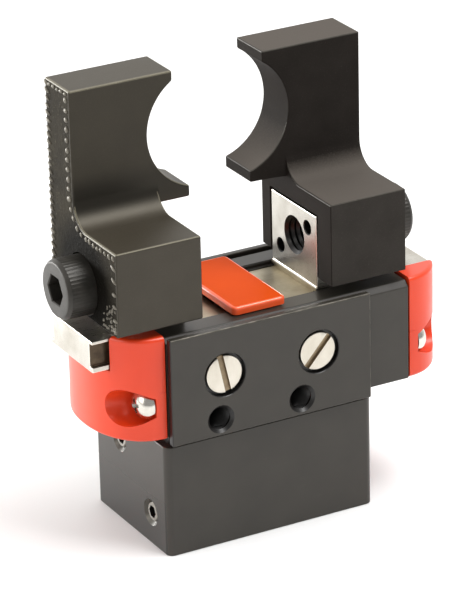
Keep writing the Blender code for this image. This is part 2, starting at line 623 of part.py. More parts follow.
def make_cover(side, face):
    """Moulded end cover with a notch for the jaw's slide and two screw pockets."""
    inner = face + GAP
    sign = SIDES[side]
    outline = [(sign * (inner + out), y) for out, y in cover_outline()]
    cover = prism(f"end_cover_{side}", outline, "XY", COVER_BOTTOM, COVER_TOP, RED_PLASTIC)
    cut(cover, side_box(f"cut_notch_{side}", side, (inner - 1, inner + 20), (-CHANNEL_HALF, CHANNEL_HALF),
                        (CHANNEL_FLOOR, COVER_TOP + 1)))
    cut(cover, side_box(f"cut_hollow_{side}", side, (inner - 1, inner + COVER_HOLLOW_LENGTH),
                        (-COVER_HOLLOW_HALF, COVER_HOLLOW_HALF),
                        (COVER_BOTTOM + COVER_WALL, CHANNEL_FLOOR + 1)))
    for end, y in (("front", -SCREW_Y), ("rear", SCREW_Y)):
        seat = inner + SCREW_SEAT
        cut(cover, cylinder(f"cut_pocket_{side}_{end}", SCREW_POCKET, (sign * seat, y, SCREW_Z),
                            (sign * (inner + 20), y, SCREW_Z), segments=ROUND))
        cut(cover, cylinder(f"cut_screw_hole_{side}_{end}", SCREW_HOLE, (sign * (inner - 1), y, SCREW_Z),
                            (sign * (seat + 1), y, SCREW_Z)))
        under = seat + GAP
        top = under + SCREW_HEAD_HEIGHT
        profile = pan_head(under)
        profile += [(SCREW_SHANK, under), (SCREW_SHANK, under - SCREW_LENGTH), (0, under - SCREW_LENGTH)]
        screw = turned(f"cover_screw_{side}_{end}", profile, ZINC, (0, y, SCREW_Z), (sign, 0, 0),
                       SMALL_ROUND)
        for arm, (wide, tall) in enumerate(((CROSS_WIDE, CROSS_LONG), (CROSS_LONG, CROSS_WIDE))):
            cut(screw, side_box(f"cut_cross_{side}_{end}_{arm}", side, (top - CROSS_DEPTH, top + 1),
                                (y - wide, y + wide), (SCREW_Z - tall, SCREW_Z + tall)))


def make_centre_cover():
    prism("centre_cover", rounded_rectangle(CENTRE_HALF_X, CENTRE_HALF_Y, CENTRE_CORNER), "XY",
          GUIDE_TOP + GAP, CENTRE_TOP, RED_PLASTIC)


PLUG_SUNK, PLUG_LENGTH = 0.4, 5.4
PLUG_HEX, PLUG_HEX_DEPTH = 1.44, 2.5


def make_plugs():
    for name, (side, y, z) in (("port_plug_lower", PORTS[0]), ("port_plug_upper", PORTS[1])):
        outer = side * (CYLINDER_HALF_LENGTH - PLUG_SUNK)
        plug = cylinder(name, PORT_RADIUS - GAP, (outer, y, z), (outer - PLUG_LENGTH * side, y, z),
                        BLACK_STEEL)
        cut(plug, cylinder(f"cut_{name}_socket", PLUG_HEX, (outer + side, y, z),
                           (outer - PLUG_HEX_DEPTH * side, y, z), segments=6))


# ---------------------------------------------------------------- jaws and fingers

def jaw_section():
    """I section of the slide, whose grooves run on the guide's tongues."""
    right = [(JAW_HALF, JAW_BOTTOM), (JAW_HALF, GROOVE_BOTTOM), (GROOVE_HALF, GROOVE_BOTTOM),
             (GROOVE_HALF, GROOVE_TOP), (JAW_HALF, GROOVE_TOP), (JAW_HALF, JAW_TOP)]
    return right + [(-y, z) for y, z in reversed(right)]


def make_jaw(side):
    """Slide that runs in the guide, with the upright tab that carries the finger."""
    sign = SIDES[side]
    end = JAW_OUTER_END[side]
    jaw = prism(f"jaw_{side}", jaw_section(), "YZ", *span(side, JAW_INNER_END, end), STEEL)
    cut(jaw, side_box(f"cut_inner_top_{side}", side, (JAW_INNER_END - 1, TAB_INNER - 0.4),
                      (-JAW_HALF - 2, JAW_HALF + 2), (JAW_INNER_TOP, JAW_TOP + 1)))
    fuse(jaw, side_box(f"join_tab_{side}", side, (TAB_INNER, TAB_OUTER), (TAB_FRONT, TAB_BACK),
                       (JAW_TOP - 0.1, TAB_TOP)))
    pocket = PIVOT_X + STROKE / 2
    under = JAW_BOTTOM - 1
    lever_half = LEVER_HALF + CROSSHEAD_ROOM
    cut(jaw, side_box(f"cut_hub_room_{side}", side, (JAW_INNER_END - 1, pocket + HUB_ROOM_X),
                      (-lever_half, lever_half), (under, HUB_ROOM_TOP)))
    cut(jaw, side_box(f"cut_lobe_pocket_{side}", side, (pocket - LOBE_ROOM_X, pocket + LOBE_ROOM_X),
                      (-lever_half, lever_half), (under, LOBE_ROOM_TOP)))
    relief = CROSSHEAD_HALF_Y + CROSSHEAD_ROOM
    cut(jaw, side_box(f"cut_crosshead_relief_{side}", side, (JAW_INNER_END - 1, RELIEF_END),
                      (-relief, relief), (under, RELIEF_TOP)))
    near, far = sign * (TAB_INNER - 1), sign * (TAB_OUTER + 1)
    cut(jaw, cylinder(f"cut_tab_m8_{side}", FINGER_SCREW_HOLE, (near, 0, FINGER_HOLE_Z),
                      (far, 0, FINGER_HOLE_Z), segments=ROUND))
    for index, (y, z) in enumerate(DOWEL_HOLES):
        y *= sign
        cut(jaw, cylinder(f"cut_dowel_{side}_{index}", DOWEL_RADIUS, (near, y, FINGER_HOLE_Z + z),
                          (far, y, FINGER_HOLE_Z + z)))
    return jaw


def grip_arc(steps=18):
    """Gripping arc from the upper lip round to the horn, the radius easing between its two ends."""
    start = Vector((LIP_X - GRIP_X, LIP_Z - GRIP_Z))
    end = Vector((HORN_X - GRIP_X, HORN_TOP - GRIP_Z))
    first, last = math.atan2(start.y, start.x), math.atan2(end.y, end.x)
    points = []
    for step in range(steps + 1):
        share = step / steps
        angle = first + (last - first) * share
        radius = start.length + (end.length - start.length) * share
        points.append((GRIP_X + radius * math.cos(angle), GRIP_Z + radius * math.sin(angle)))
    return points


def finger_arm_outline(inner):
    foot = BLOCK_TOP - 4
    return [(FINGER_OUTER, ARM_TOP), (LIP_X, ARM_TOP), *grip_arc(), (HORN_X, HORN_BOTTOM),
            (inner, HORN_BOTTOM), (inner, foot), (FINGER_OUTER, foot)]


def fillet_outline(steps=6):
    """Section of the concave fillet between the arm's front and the block's top."""
    behind, below = ARM_FRONT + 1, BLOCK_TOP - 1
    points = [(ARM_FRONT - FILLET, below), (behind, below), (behind, BLOCK_TOP + FILLET)]
    for step in range(steps + 1):
        angle = math.radians(90 * step / steps)
        points.append((ARM_FRONT - FILLET + FILLET * math.cos(angle),
                       BLOCK_TOP + FILLET - FILLET * math.sin(angle)))
    return points


def make_finger(side):
    """Printed finger: a block that caps the jaw's tab, and an arm with the gripping arc."""
    sign, inner = SIDES[side], FINGER_INNER[side]
    outline = [(sign * x, z) for x, z in finger_arm_outline(inner)]
    finger = prism(f"finger_{side}", outline, "XZ", ARM_FRONT, FINGER_BACK, PRINTED)
    fuse(finger,
         side_box(f"join_block_{side}", side, (inner, FINGER_OUTER), (FINGER_FRONT, FINGER_BACK),
                  (BLOCK_BOTTOM, BLOCK_TOP)),
         prism(f"join_fillet_{side}", fillet_outline(), "YZ", *span(side, inner, FINGER_OUTER)))
    cut(finger, side_box(f"cut_tab_pocket_{side}", side, (inner - 1, TAB_OUTER + GAP),
                         (TAB_FRONT - GAP, TAB_BACK + GAP), (BLOCK_BOTTOM - 1, TAB_TOP + GAP)))
    face, outside = FINGER_SCREW_FACE[side], FINGER_OUTER + 2
    seat = face - FINGER_SCREW_HEIGHT
    cut(finger, cylinder(f"cut_finger_m8_{side}", FINGER_SCREW_HOLE, (sign * TAB_OUTER, 0, FINGER_HOLE_Z),
                         (sign * outside, 0, FINGER_HOLE_Z), segments=ROUND),
        cylinder(f"cut_finger_seat_{side}", FINGER_SCREW_POCKET, (sign * (seat - GAP), 0, FINGER_HOLE_Z),
                 (sign * outside, 0, FINGER_HOLE_Z), segments=ROUND))
    edge, head, shank = 0.5, FINGER_SCREW_HEAD, FINGER_SCREW_SHANK
    profile = [(0, face), (head - edge, face), (head, face - edge), (head, seat), (shank, seat),
               (shank, FINGER_SCREW_END), (0, FINGER_SCREW_END)]
    screw = turned(f"finger_screw_{side}", profile, BLACK_STEEL, (0, 0, FINGER_HOLE_Z), (sign, 0, 0))
    cut(screw, cylinder(f"cut_hex_{side}", HEX_CORNER, (sign * (face - HEX_DEPTH), 0, FINGER_HOLE_Z),
                        (sign * (face + 1), 0, FINGER_HOLE_Z), segments=6))
    return finger, screw


# ---------------------------------------------------------------- the gripper

make_body()
make_plate("front_plate", -1)
make_plate("rear_plate", 1)
for lever_side in SIDES:
    make_pivot(lever_side)
    make_lever(lever_side)
make_cylinder_parts()
make_piston()
make_spring()
make_cover("left", HALF_LENGTH)
make_cover("right", GUIDE_RIGHT)
make_centre_cover()
make_plugs()
for jaw_side, jaw_sign in SIDES.items():
    joint_frame(f"jaw_{jaw_side}_frame", (jaw_sign * JAW_INNER_END, 0, JAW_BOTTOM),
                [make_jaw(jaw_side), *make_finger(jaw_side)])
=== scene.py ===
"""Looks of the pneumatic two-jaw gripper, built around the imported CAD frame.

Sizes here are millimetres in the frame's own axes (X is the jaws' travel, -Y the front with the two
slotted pivot heads, +Z towards the fingers), and every mesh is scaled to metres when it is made.
"""
import json
import math
import random

import bmesh
import bpy
from mathutils import Matrix, Vector


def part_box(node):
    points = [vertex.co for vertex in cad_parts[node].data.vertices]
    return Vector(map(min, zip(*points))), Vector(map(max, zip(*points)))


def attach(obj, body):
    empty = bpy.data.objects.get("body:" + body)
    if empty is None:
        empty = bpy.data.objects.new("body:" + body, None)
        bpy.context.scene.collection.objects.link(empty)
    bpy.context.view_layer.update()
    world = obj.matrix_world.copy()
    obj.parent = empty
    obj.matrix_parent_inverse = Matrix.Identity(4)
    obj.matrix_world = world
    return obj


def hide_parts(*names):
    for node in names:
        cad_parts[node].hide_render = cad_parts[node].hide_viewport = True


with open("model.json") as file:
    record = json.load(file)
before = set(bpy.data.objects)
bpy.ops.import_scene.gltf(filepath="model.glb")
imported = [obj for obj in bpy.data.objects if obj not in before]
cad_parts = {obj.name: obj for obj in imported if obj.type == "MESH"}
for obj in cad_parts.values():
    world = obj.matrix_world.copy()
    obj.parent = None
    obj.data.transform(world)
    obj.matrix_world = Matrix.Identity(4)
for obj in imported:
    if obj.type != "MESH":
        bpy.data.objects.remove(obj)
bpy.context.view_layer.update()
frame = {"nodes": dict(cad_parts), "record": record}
NODES = frame["nodes"]
BODY_OF = {node: body for body, nodes in frame["record"]["behaviour"]["bodies"].items() for node in nodes}

MM = 0.001
SIDES = {"left": -1, "right": 1}
CORNERS = ((-1, -1), (1, -1), (1, 1), (-1, 1))


# ======== camera, light and floor

CAMERA_TARGET = Vector((0.55, 0.0, 47.6)) * MM
CAMERA_DISTANCE = 819.0 * MM
CAMERA_TURN = math.radians(28.4)  # towards the left of the front face
CAMERA_RISE = math.radians(23.26)
CAMERA_ROLL = math.radians(1.42)
CAMERA_LENS, CAMERA_SENSOR = 231.3, 36.0
CAMERA_SHIFT = (-0.00135, -0.0018)
CAMERA_NEAR = 0.01

# Area lights: place and size in metres, power in watts, and colour
WHITE = (1.0, 1.0, 1.0)
SOFTBOXES = {
    "overhead_softbox": ((0.22, -0.20, 0.68), (0.45, 0.35), 5.0, WHITE),
    "left_softbox": ((-0.80, 0.0, 0.40), (0.5, 0.5), 2.0, (1.0, 0.97, 0.93)),
    "rear_softbox": ((-0.50, 0.80, 0.10), (0.6, 0.2), 10.0, WHITE),
}
LIGHTS_AIM = Vector((0, 0, 0.05))
ROOM_COLOUR = (1.0, 0.99, 0.975, 1.0)
FRONT_WALL, BACK_WALL = 0.4, 1.25  # brightness of the room before and behind the gripper
WALL_FADE = 0.6  # how far to the front and back, out of 1, the two are reached


def add_object(name, data):
    obj = bpy.data.objects.new(name, data)
    bpy.context.scene.collection.objects.link(obj)
    return obj


def look_along(obj, forward, roll=0.0):
    """Turns a camera or a light so that its -Z axis looks along forward, rolled about that axis."""
    forward = forward.normalized()
    level = forward.cross(Vector((0, 0, 1))).normalized()
    up = level.cross(forward)
    right = math.cos(roll) * level - math.sin(roll) * up
    over = math.sin(roll) * level + math.cos(roll) * up
    turn = Matrix((right, over, -forward)).transposed()
    obj.rotation_euler = turn.to_euler()


def make_camera():
    forward = Vector((math.sin(CAMERA_TURN) * math.cos(CAMERA_RISE),
                      math.cos(CAMERA_TURN) * math.cos(CAMERA_RISE),
                      -math.sin(CAMERA_RISE)))
    camera = add_object("camera", bpy.data.cameras.new("camera"))
    camera.location = CAMERA_TARGET - forward * CAMERA_DISTANCE
    look_along(camera, forward, CAMERA_ROLL)
    camera.data.sensor_width = CAMERA_SENSOR
    camera.data.lens = CAMERA_LENS
    camera.data.shift_x, camera.data.shift_y = CAMERA_SHIFT
    camera.data.clip_start = CAMERA_NEAR
    bpy.context.scene.camera = camera


def soft_light(name, place, size, power, colour):
    light = bpy.data.lights.new(name, "AREA")
    light.shape = "RECTANGLE"
    light.size, light.size_y = size
    light.energy = power
    light.color = colour
    obj = add_object(name, light)
    obj.location = place
    look_along(obj, LIGHTS_AIM - Vector(place))


def make_room():
    """An even room round the gripper, bright behind it and dimmer in front."""
    world = bpy.data.worlds.new("white_room")
    bpy.context.scene.world = world
    world.use_nodes = True
    nodes, links = world.node_tree.nodes, world.node_tree.links
    facing = nodes.new("ShaderNodeSeparateXYZ")
    links.new(nodes.new("ShaderNodeTexCoord").outputs["Generated"], facing.inputs["Vector"])
    strength = nodes.new("ShaderNodeMapRange")
    for socket, value in (("From Min", -WALL_FADE), ("From Max", WALL_FADE),
                          ("To Min", FRONT_WALL), ("To Max", BACK_WALL)):
        strength.inputs[socket].default_value = value
    links.new(facing.outputs["Y"], strength.inputs["Value"])
    background = nodes["Background"].inputs
    background["Color"].default_value = ROOM_COLOUR
    links.new(strength.outputs["Result"], background["Strength"])
    bpy.context.scene.view_settings.view_transform = "Standard"


make_camera()
for light_name, light_facts in SOFTBOXES.items():
    soft_light(light_name, *light_facts)
make_room()


# ======== materials

class Finish:
    """One Principled material and short calls that add texture nodes to it."""

    def __init__(self, name, roughness, metallic=0.0, **sockets):
        self.material = bpy.data.materials.new(name)
        self.material.use_nodes = True
        self.tree = self.material.node_tree
        self.shader = self.tree.nodes["Principled BSDF"]
        self.set(self.shader, Roughness=roughness, Metallic=metallic, **sockets)
        self.coordinates = self.tree.nodes.new("ShaderNodeTexCoord").outputs
        self.place = self.coordinates["Object"]

    def feed(self, socket, value):
        """Gives an input a value or another node's output."""
        if isinstance(value, bpy.types.NodeSocket):
            self.tree.links.new(value, socket)
        else:
            socket.default_value = value

    def set(self, node, **sockets):
        """Feeds a node's inputs by name, with _ for each space."""
        for name, value in sockets.items():
            self.feed(node.inputs[name.replace("_", " ")], value)

    def node(self, kind, output, **sockets):
        node = self.tree.nodes.new("ShaderNode" + kind)
        self.set(node, **sockets)
        return node.outputs[output]

    def stretched(self, scale):
        """Object coordinates scaled along each axis, for grain that runs one way."""
        return self.node("Mapping", "Vector", Vector=self.place, Scale=scale)

    def noise(self, size_mm, detail=3.0, roughness=0.5, vector=None):
        """Value noise whose blobs are about size_mm across."""
        return self.node("TexNoise", "Fac", Vector=vector or self.place, Scale=1 / (size_mm * MM),
                         Detail=detail, Roughness=roughness)

    def grains(self, size_mm):
        """Distance to the middle of scattered cells about size_mm across."""
        return self.node("TexVoronoi", "Distance", Vector=self.place, Scale=1 / (size_mm * MM))

    def upward(self):
        """How far the surface looks up: 0 for a wall, 1 for a level face."""
        return self.node("SeparateXYZ", "Z", Vector=self.coordinates["Normal"])

    def height(self, low, high):
        """How far up the surface lies: 0 at low and 1 at high, both in millimetres."""
        return self.node("MapRange", "Result", Value=self.node("SeparateXYZ", "Z", Vector=self.place),
                         From_Min=low * MM, From_Max=high * MM)

    def distance(self, middle, reach):
        """Distance from a line along X through middle (Y, Z), both in millimetres, as a share of reach."""
        scale = 1 / (reach * MM)
        offset = self.node("Mapping", "Vector", Vector=self.place, Scale=(0, scale, scale),
                           Location=(0, -middle[0] / reach, -middle[1] / reach))
        node = self.tree.nodes.new("ShaderNodeVectorMath")
        node.operation = "LENGTH"
        self.tree.links.new(offset, node.inputs[0])
        return node.outputs["Value"]

    def ramp(self, source, *stops):
        """Colour ramp; each stop is a position and a grey value or a colour."""
        node = self.tree.nodes.new("ShaderNodeValToRGB")
        elements = node.color_ramp.elements
        for element, (position, colour) in zip(elements, stops, strict=True):
            element.position = position
            shade = colour if isinstance(colour, tuple) else (colour, colour, colour)
            element.color = (*shade, 1.0)
        self.set(node, Fac=source)
        return node.outputs["Color"]

    def blend(self, factor, first, second):
        node = self.tree.nodes.new("ShaderNodeMix")
        node.data_type = "RGBA"
        for number, value in ((0, factor), (6, first), (7, second)):
            self.feed(node.inputs[number], (*value, 1.0) if isinstance(value, tuple) else value)
        return node.outputs[2]

    def add(self, first, second, share=1.0):
        """first + second * share."""
        node = self.tree.nodes.new("ShaderNodeMath")
        node.operation = "MULTIPLY_ADD"
        self.tree.links.new(second, node.inputs[0])
        node.inputs[1].default_value = share
        self.tree.links.new(first, node.inputs[2])
        return node.outputs["Value"]

    def colour(self, source):
        self.set(self.shader, Base_Color=source)

    def rough(self, source, low, high):
        self.set(self.shader, Roughness=self.node("MapRange", "Result", Value=source, To_Min=low,
                                                  To_Max=high))

    def bump(self, source, depth_mm, strength=1.0):
        self.set(self.shader, Normal=self.node("Bump", "Normal", Height=source, Strength=strength,
                                               Distance=depth_mm * MM))


# Brightness of a rub mark, a painted shade foot and a painted shade patch, against the surface's own colour
RUB_SHADE, FOOT_PAINTED_SHADE, PATCH_SHADE = 1.5, 0.45, 0.2
ALONG_X, EVEN = (0.06, 1.0, 1.0), (1.0, 1.0, 1.0)  # how grinding lines are stretched


def scaled(colour, share):
    return tuple(share * part for part in colour)


def anodised(name, dark, light, foot=None):
    """Satin anodised aluminium: bead-blasted grain, faint cloudiness and rub marks. foot is the two heights
    between which the skin goes from smooth and dark with painted shade to its full grain and colour."""
    finish = Finish(name, 0.42, 0.15)
    cloud = finish.noise(9.0, 4.0)
    grain = finish.noise(0.16, 2.0)
    rubs = finish.noise(1.2, 5.0, 0.6, finish.stretched((0.25, 1.0, 1.6)))
    shade = finish.ramp(cloud, (0.3, dark), (0.7, light))
    marks = finish.ramp(rubs, (0.62, 0.0), (0.78, 0.35))
    shade = finish.blend(marks, shade, scaled(light, RUB_SHADE))
    texture = finish.add(cloud, grain, 0.4)
    if foot:
        rise = finish.height(*foot)
        # painted shade: the colour darkens towards the bottom of the face
        clear_of_foot_shade = finish.ramp(rise, (0.0, 0.0), (1.0, 1.0))
        shade = finish.blend(clear_of_foot_shade, scaled(dark, FOOT_PAINTED_SHADE), shade)
        finish.rough(finish.add(rise, texture, 0.15), 0.12, 0.38)
    else:
        finish.rough(texture, 0.26, 0.40)
    finish.colour(shade)
    finish.bump(grain, 0.012, 0.5)
    return finish.material


def worn_edge_and_highlight(name, dark, light):
    """Edge of a black part where handling has rubbed the colour thin; lighter than the skin, it also paints
    the edge's highlight.
    """
    finish = Finish(name, 0.35, 0.6)
    wear = finish.noise(2.6, 3.0, 0.5)
    finish.colour(finish.ramp(wear, (0.35, dark), (0.62, light)))
    finish.rough(wear, 0.5, 0.28)
    finish.bump(finish.noise(0.3), 0.01, 0.5)
    return finish.material


def moulded(name, deep, bright, shine):
    """Injection-moulded plastic with a faint flow pattern and fine scuffs."""
    finish = Finish(name, 0.3, Specular_IOR_Level=shine, Coat_Weight=shine * 0.5, Coat_Roughness=0.15)
    flow = finish.noise(14.0, 2.0)
    scuffs = finish.noise(0.5, 6.0, 0.7, finish.stretched((1.0, 1.0, 0.2)))
    finish.colour(finish.ramp(flow, (0.3, deep), (0.7, bright)))
    finish.rough(finish.add(flow, scuffs, 0.15), 0.26, 0.42)
    finish.bump(finish.add(flow, finish.noise(0.35), 0.03), 0.02, 0.3)
    return finish.material


def ground(name, dark, light, along, roughness=(0.2, 0.38)):
    """Bright metal with grinding lines; along gives the stretch of the lines per axis."""
    finish = Finish(name, 0.28, 1.0)
    lines = finish.noise(0.25, 6.0, 0.7, finish.stretched(along))
    cloud = finish.noise(5.0, 3.0)
    finish.colour(finish.ramp(finish.add(cloud, lines, 0.35), (0.45, dark), (0.85, light)))
    finish.rough(lines, *roughness)
    finish.bump(lines, 0.008, 0.45)
    return finish.material


def sintered(name, dark, light, speck, shine, grain_mm=0.22, relief=0.015, roughness=(0.36, 0.5),
             dust_and_top_light=None, shade_patch=None):
    """Laser-sintered plastic: a fine sandy surface with a satin sheen and paler grains. The up-facing colour
    is powder dust on the faces that look up together with painted light on them. The shade patch is the Y
    and Z of the middle of a dark patch of painted shade, its radius, and the radius where it has faded away,
    in millimetres."""
    finish = Finish(name, 0.5, Specular_IOR_Level=shine, Specular_Tint=(1.0, 0.92, 0.76, 1.0))
    sand = finish.noise(grain_mm, 3.0, 0.6)
    pits = finish.grains(grain_mm * 2.4)
    cloud = finish.noise(7.0, 4.0, 0.55)
    shade = finish.ramp(cloud, (0.3, dark), (0.72, light))
    specks = finish.ramp(sand, (0.58, 0.0), (0.74, 0.55))
    shade = finish.blend(specks, shade, speck)
    if dust_and_top_light:
        # dust and painted light: the faces that look up are made lighter
        dust_and_light = finish.ramp(finish.add(finish.upward(), sand, 0.3), (0.45, 0.0), (1.0, 1.0))
        shade = finish.blend(dust_and_light, shade, dust_and_top_light)
    # painted shade: a dark patch where shade or a shadow falls
    if shade_patch:
        y, z, radius, faded = shade_patch
        painted_patch = finish.ramp(finish.distance((y, z), faded), (radius / faded, 1.0), (1.0, 0.0))
        shade = finish.blend(painted_patch, shade, scaled(dark, PATCH_SHADE))
    finish.colour(shade)
    finish.rough(finish.add(sand, cloud, 0.4), *roughness)
    finish.bump(finish.add(sand, pits, 0.5), relief, 0.6)
    return finish.material


def plain_metal(name, dark, light, metallic=1.0, roughness=(0.25, 0.42), grain_mm=0.6, relief=0.01):
    """Cloudy turned or plated metal, or a plain dark surface when metallic is 0."""
    finish = Finish(name, 0.35, metallic)
    cloud = finish.noise(3.0, 4.0, 0.6)
    grain = finish.noise(grain_mm, 3.0)
    finish.colour(finish.ramp(cloud, (0.3, dark), (0.7, light)))
    finish.rough(grain, *roughness)
    finish.bump(grain, relief, 0.5)
    return finish.material


BLACK_DARK, BLACK_LIGHT = (0.028, 0.0245, 0.019), (0.036, 0.0315, 0.025)
ANODISED = anodised("anodised_black", BLACK_DARK, BLACK_LIGHT)
# painted shade: the body's left face darkens towards its bottom
ANODISED_FOOT_SHADED = anodised("anodised_black_painted_foot_shade", BLACK_DARK, BLACK_LIGHT, (4.0, 20.0))
# duller, slightly darker copy of the anodised skin for the guide's chamfer, toning down its highlight:
# painted shade
ANODISED_BEVEL_SHADED = plain_metal("anodised_black_bevel_painted_shade", (0.023, 0.020, 0.016), (0.031, 0.027, 0.022), 0.0,
                             (0.52, 0.62))
# the plates' top and right edges: edge wear with painted highlight
ANODISED_EDGE_WORN_AND_HIGHLIT = worn_edge_and_highlight("anodised_black_edge", (0.045, 0.041, 0.033), (0.11, 0.10, 0.083))
# near-black painted shade inside holes and sockets, on the neck's joint and on the plates' left ends
HOLE_PAINTED_SHADE = plain_metal("drilled_hole_painted_shade", (0.004, 0.0035, 0.0035), (0.010, 0.009, 0.008), 0.12)
PORT_RIM = plain_metal("port_rim_bare", (0.050, 0.046, 0.038), (0.10, 0.094, 0.080), 0.5)
PLUG_STEEL = plain_metal("plug_steel", (0.24, 0.23, 0.20), (0.40, 0.385, 0.35), 0.8)
RED = moulded("red_cover_plastic", (0.69, 0.040, 0.006), (0.75, 0.052, 0.010), 0.38)
ORANGE = moulded("orange_cover_plastic", (0.57, 0.054, 0.001), (0.62, 0.068, 0.003), 0.02)
# brighter copy: painted highlight on the centre cover's sides and rounded top edge
ORANGE_EDGE_HIGHLIGHT = moulded("orange_cover_edge_painted_highlight", (0.95, 0.090, 0.014), (1.0, 0.12, 0.022), 0.8)
GROUND = ground("ground_steel_jaw", (0.43, 0.40, 0.345), (0.58, 0.56, 0.51), ALONG_X)
# darker copy for the tab's inner face: painted shade
GROUND_TAB_SHADED = ground("ground_steel_tab_painted_shade", (0.34, 0.32, 0.28), (0.46, 0.44, 0.40), ALONG_X)
# darker, browner copy for the jaw's cut inner step: painted shade
GROUND_STEP_SHADED = ground("ground_steel_step_painted_shade", (0.33, 0.285, 0.20), (0.50, 0.45, 0.34), ALONG_X, (0.3, 0.45))
# darker, browner inner walls of the slide groove
GROUND_GROOVE = plain_metal("slide_groove_dark", (0.05, 0.033, 0.018), (0.12, 0.085, 0.05), 0.6)
# painted highlight on the jaws' rounded edges and on the fillet at the tab's foot
GROUND_EDGE_HIGHLIGHT = ground("ground_steel_edge_painted_highlight", (0.66, 0.62, 0.54), (0.82, 0.78, 0.70), EVEN)
DISC = ground("faced_pivot_steel", (0.57, 0.53, 0.45), (0.68, 0.64, 0.56), (1.0, 1.0, 0.12),
              (0.26, 0.42))
SLOT_STAIN = plain_metal("slot_oil_stain", (0.16, 0.12, 0.075), (0.34, 0.26, 0.16), 0.7)
ZINC = plain_metal("zinc_plating", (0.60, 0.58, 0.52), (0.80, 0.78, 0.72), 1.0, (0.14, 0.26))
BLACK_OXIDE = plain_metal("black_oxide", (0.026, 0.024, 0.020), (0.044, 0.040, 0.034), 0.4,
                          (0.34, 0.5), 0.3, 0.02)
OXIDE_EDGE = worn_edge_and_highlight("black_oxide_edge", (0.06, 0.055, 0.046), (0.16, 0.148, 0.126))
OLIVE = sintered("printed_olive", (0.0125, 0.0105, 0.0075), (0.019, 0.016, 0.0112),
                 (0.042, 0.036, 0.025), 0.45, dust_and_top_light=(0.028, 0.023, 0.0155),
                 shade_patch=(3.0, 76.2, 2.0, 5.5))  # painted shade at the foot of the arm
# lighter copy for the finger block's front face: painted light
OLIVE_FRONT_LIT = sintered("printed_olive_front_painted_light", (0.026, 0.0225, 0.0175), (0.034, 0.0295, 0.0235),
                       (0.060, 0.052, 0.038), 0.45, dust_and_top_light=(0.028, 0.023, 0.0155))
# painted highlight on the fingers' rounded edges that look up
OLIVE_EDGE_HIGHLIGHT = sintered("printed_olive_edge", (0.075, 0.068, 0.048), (0.12, 0.11, 0.08),
                      (0.20, 0.185, 0.14), 0.5, 0.4)
OLIVE_ROUGH = sintered("printed_olive_rough", (0.014, 0.012, 0.009), (0.032, 0.028, 0.020),
                       (0.10, 0.09, 0.068), 0.06, 0.6, 0.2, (0.6, 0.8),
                       shade_patch=(-1.0, 59.5, 9.5, 15.5))  # painted shadow round the screw's head
OLIVE_BEAD = sintered("printed_olive_bead", (0.07, 0.064, 0.052), (0.14, 0.13, 0.108),
                      (0.24, 0.225, 0.19), 0.6, 0.3, 0.02, (0.35, 0.5))
# its last colour is dust and painted light on the faces that look up
CHARCOAL = sintered("printed_charcoal", (0.0135, 0.0115, 0.0102), (0.0185, 0.0158, 0.014),
                    (0.042, 0.036, 0.031), 0.05, 0.3, 0.02, (0.6, 0.75), (0.082, 0.072, 0.063))
# lighter copy for the finger block's front face: painted light
CHARCOAL_FRONT_LIT = sintered("printed_charcoal_front", (0.030, 0.0268, 0.0240), (0.038, 0.034, 0.0305),
                          (0.065, 0.058, 0.051), 0.05, 0.3, 0.02, (0.6, 0.75))
# painted highlight on the fingers' rounded edges that look up
CHARCOAL_EDGE_HIGHLIGHT = sintered("printed_charcoal_edge", (0.014, 0.0126, 0.0112), (0.026, 0.0236, 0.0214),
                         (0.07, 0.064, 0.058), 0.3, 0.3)
ALUMINIUM = ground("turned_aluminium", 0.52, 0.74, EVEN, (0.3, 0.45))
BRONZE = plain_metal("bearing_bronze", (0.42, 0.27, 0.11), (0.60, 0.40, 0.18))
RUBBER = plain_metal("seal_rubber", 0.016, 0.030, 0.0, (0.6, 0.8))
SPRING = plain_metal("drawn_spring_wire", (0.32, 0.32, 0.33), (0.50, 0.50, 0.51))


FLOOR_HALF = 3.0  # metres


def make_floor():
    finish = Finish("studio_floor", 0.6)
    finish.colour(finish.ramp(finish.noise(300.0), (0.3, 0.86), (0.7, 0.88)))
    finish.bump(finish.noise(3.0), 0.02, 0.1)
    bm = bmesh.new()
    bm.faces.new([bm.verts.new((x * FLOOR_HALF, y * FLOOR_HALF, 0)) for x, y in CORNERS])
    mesh = bpy.data.meshes.new("studio_floor")
    bm.to_mesh(mesh)
    bm.free()
    floor = add_object("studio_floor", mesh)
    mesh.materials.append(finish.material)


make_floor()


# ======== mesh tools, in millimetres

PLANES = {
    "XY": lambda u, v, w: Vector((u, v, w)),
    "XZ": lambda u, v, w: Vector((u, w, v)),
    "YZ": lambda u, v, w: Vector((w, u, v)),
}


def loft(*rings):
    """Closed solid between two rings of as many points."""
    bm = bmesh.new()
    first, second = [[bm.verts.new(spot) for spot in ring] for ring in rings]
    bm.faces.new(first)
    bm.faces.new(second)
    for index in range(len(first)):
        after = (index + 1) % len(first)
        bm.faces.new((first[index], first[after], second[after], second[index]))
    bmesh.ops.recalc_face_normals(bm, faces=bm.faces)
    return bm


def prism(outline, plane, low, high):
    """Closed solid: a flat outline in the plane, from low to high along the third axis."""
    return loft(*[[PLANES[plane](u, v, w) for u, v in outline] for w in (low, high)])


def block(low, high):
    low, high = Vector(low), Vector(high)
    outline = [(low.x, low.y), (high.x, low.y), (high.x, high.y), (low.x, high.y)]
    return prism(outline, "XY", low.z, high.z)


def side_block(side, x, y, z):
    """Block whose X limits are counted outwards on one side."""
    low_x, high_x = span(side, *x)
    return block((low_x, y[0], z[0]), (high_x, y[1], z[1]))


def span(side, near, far):
    return tuple(sorted((SIDES[side] * near, SIDES[side] * far)))


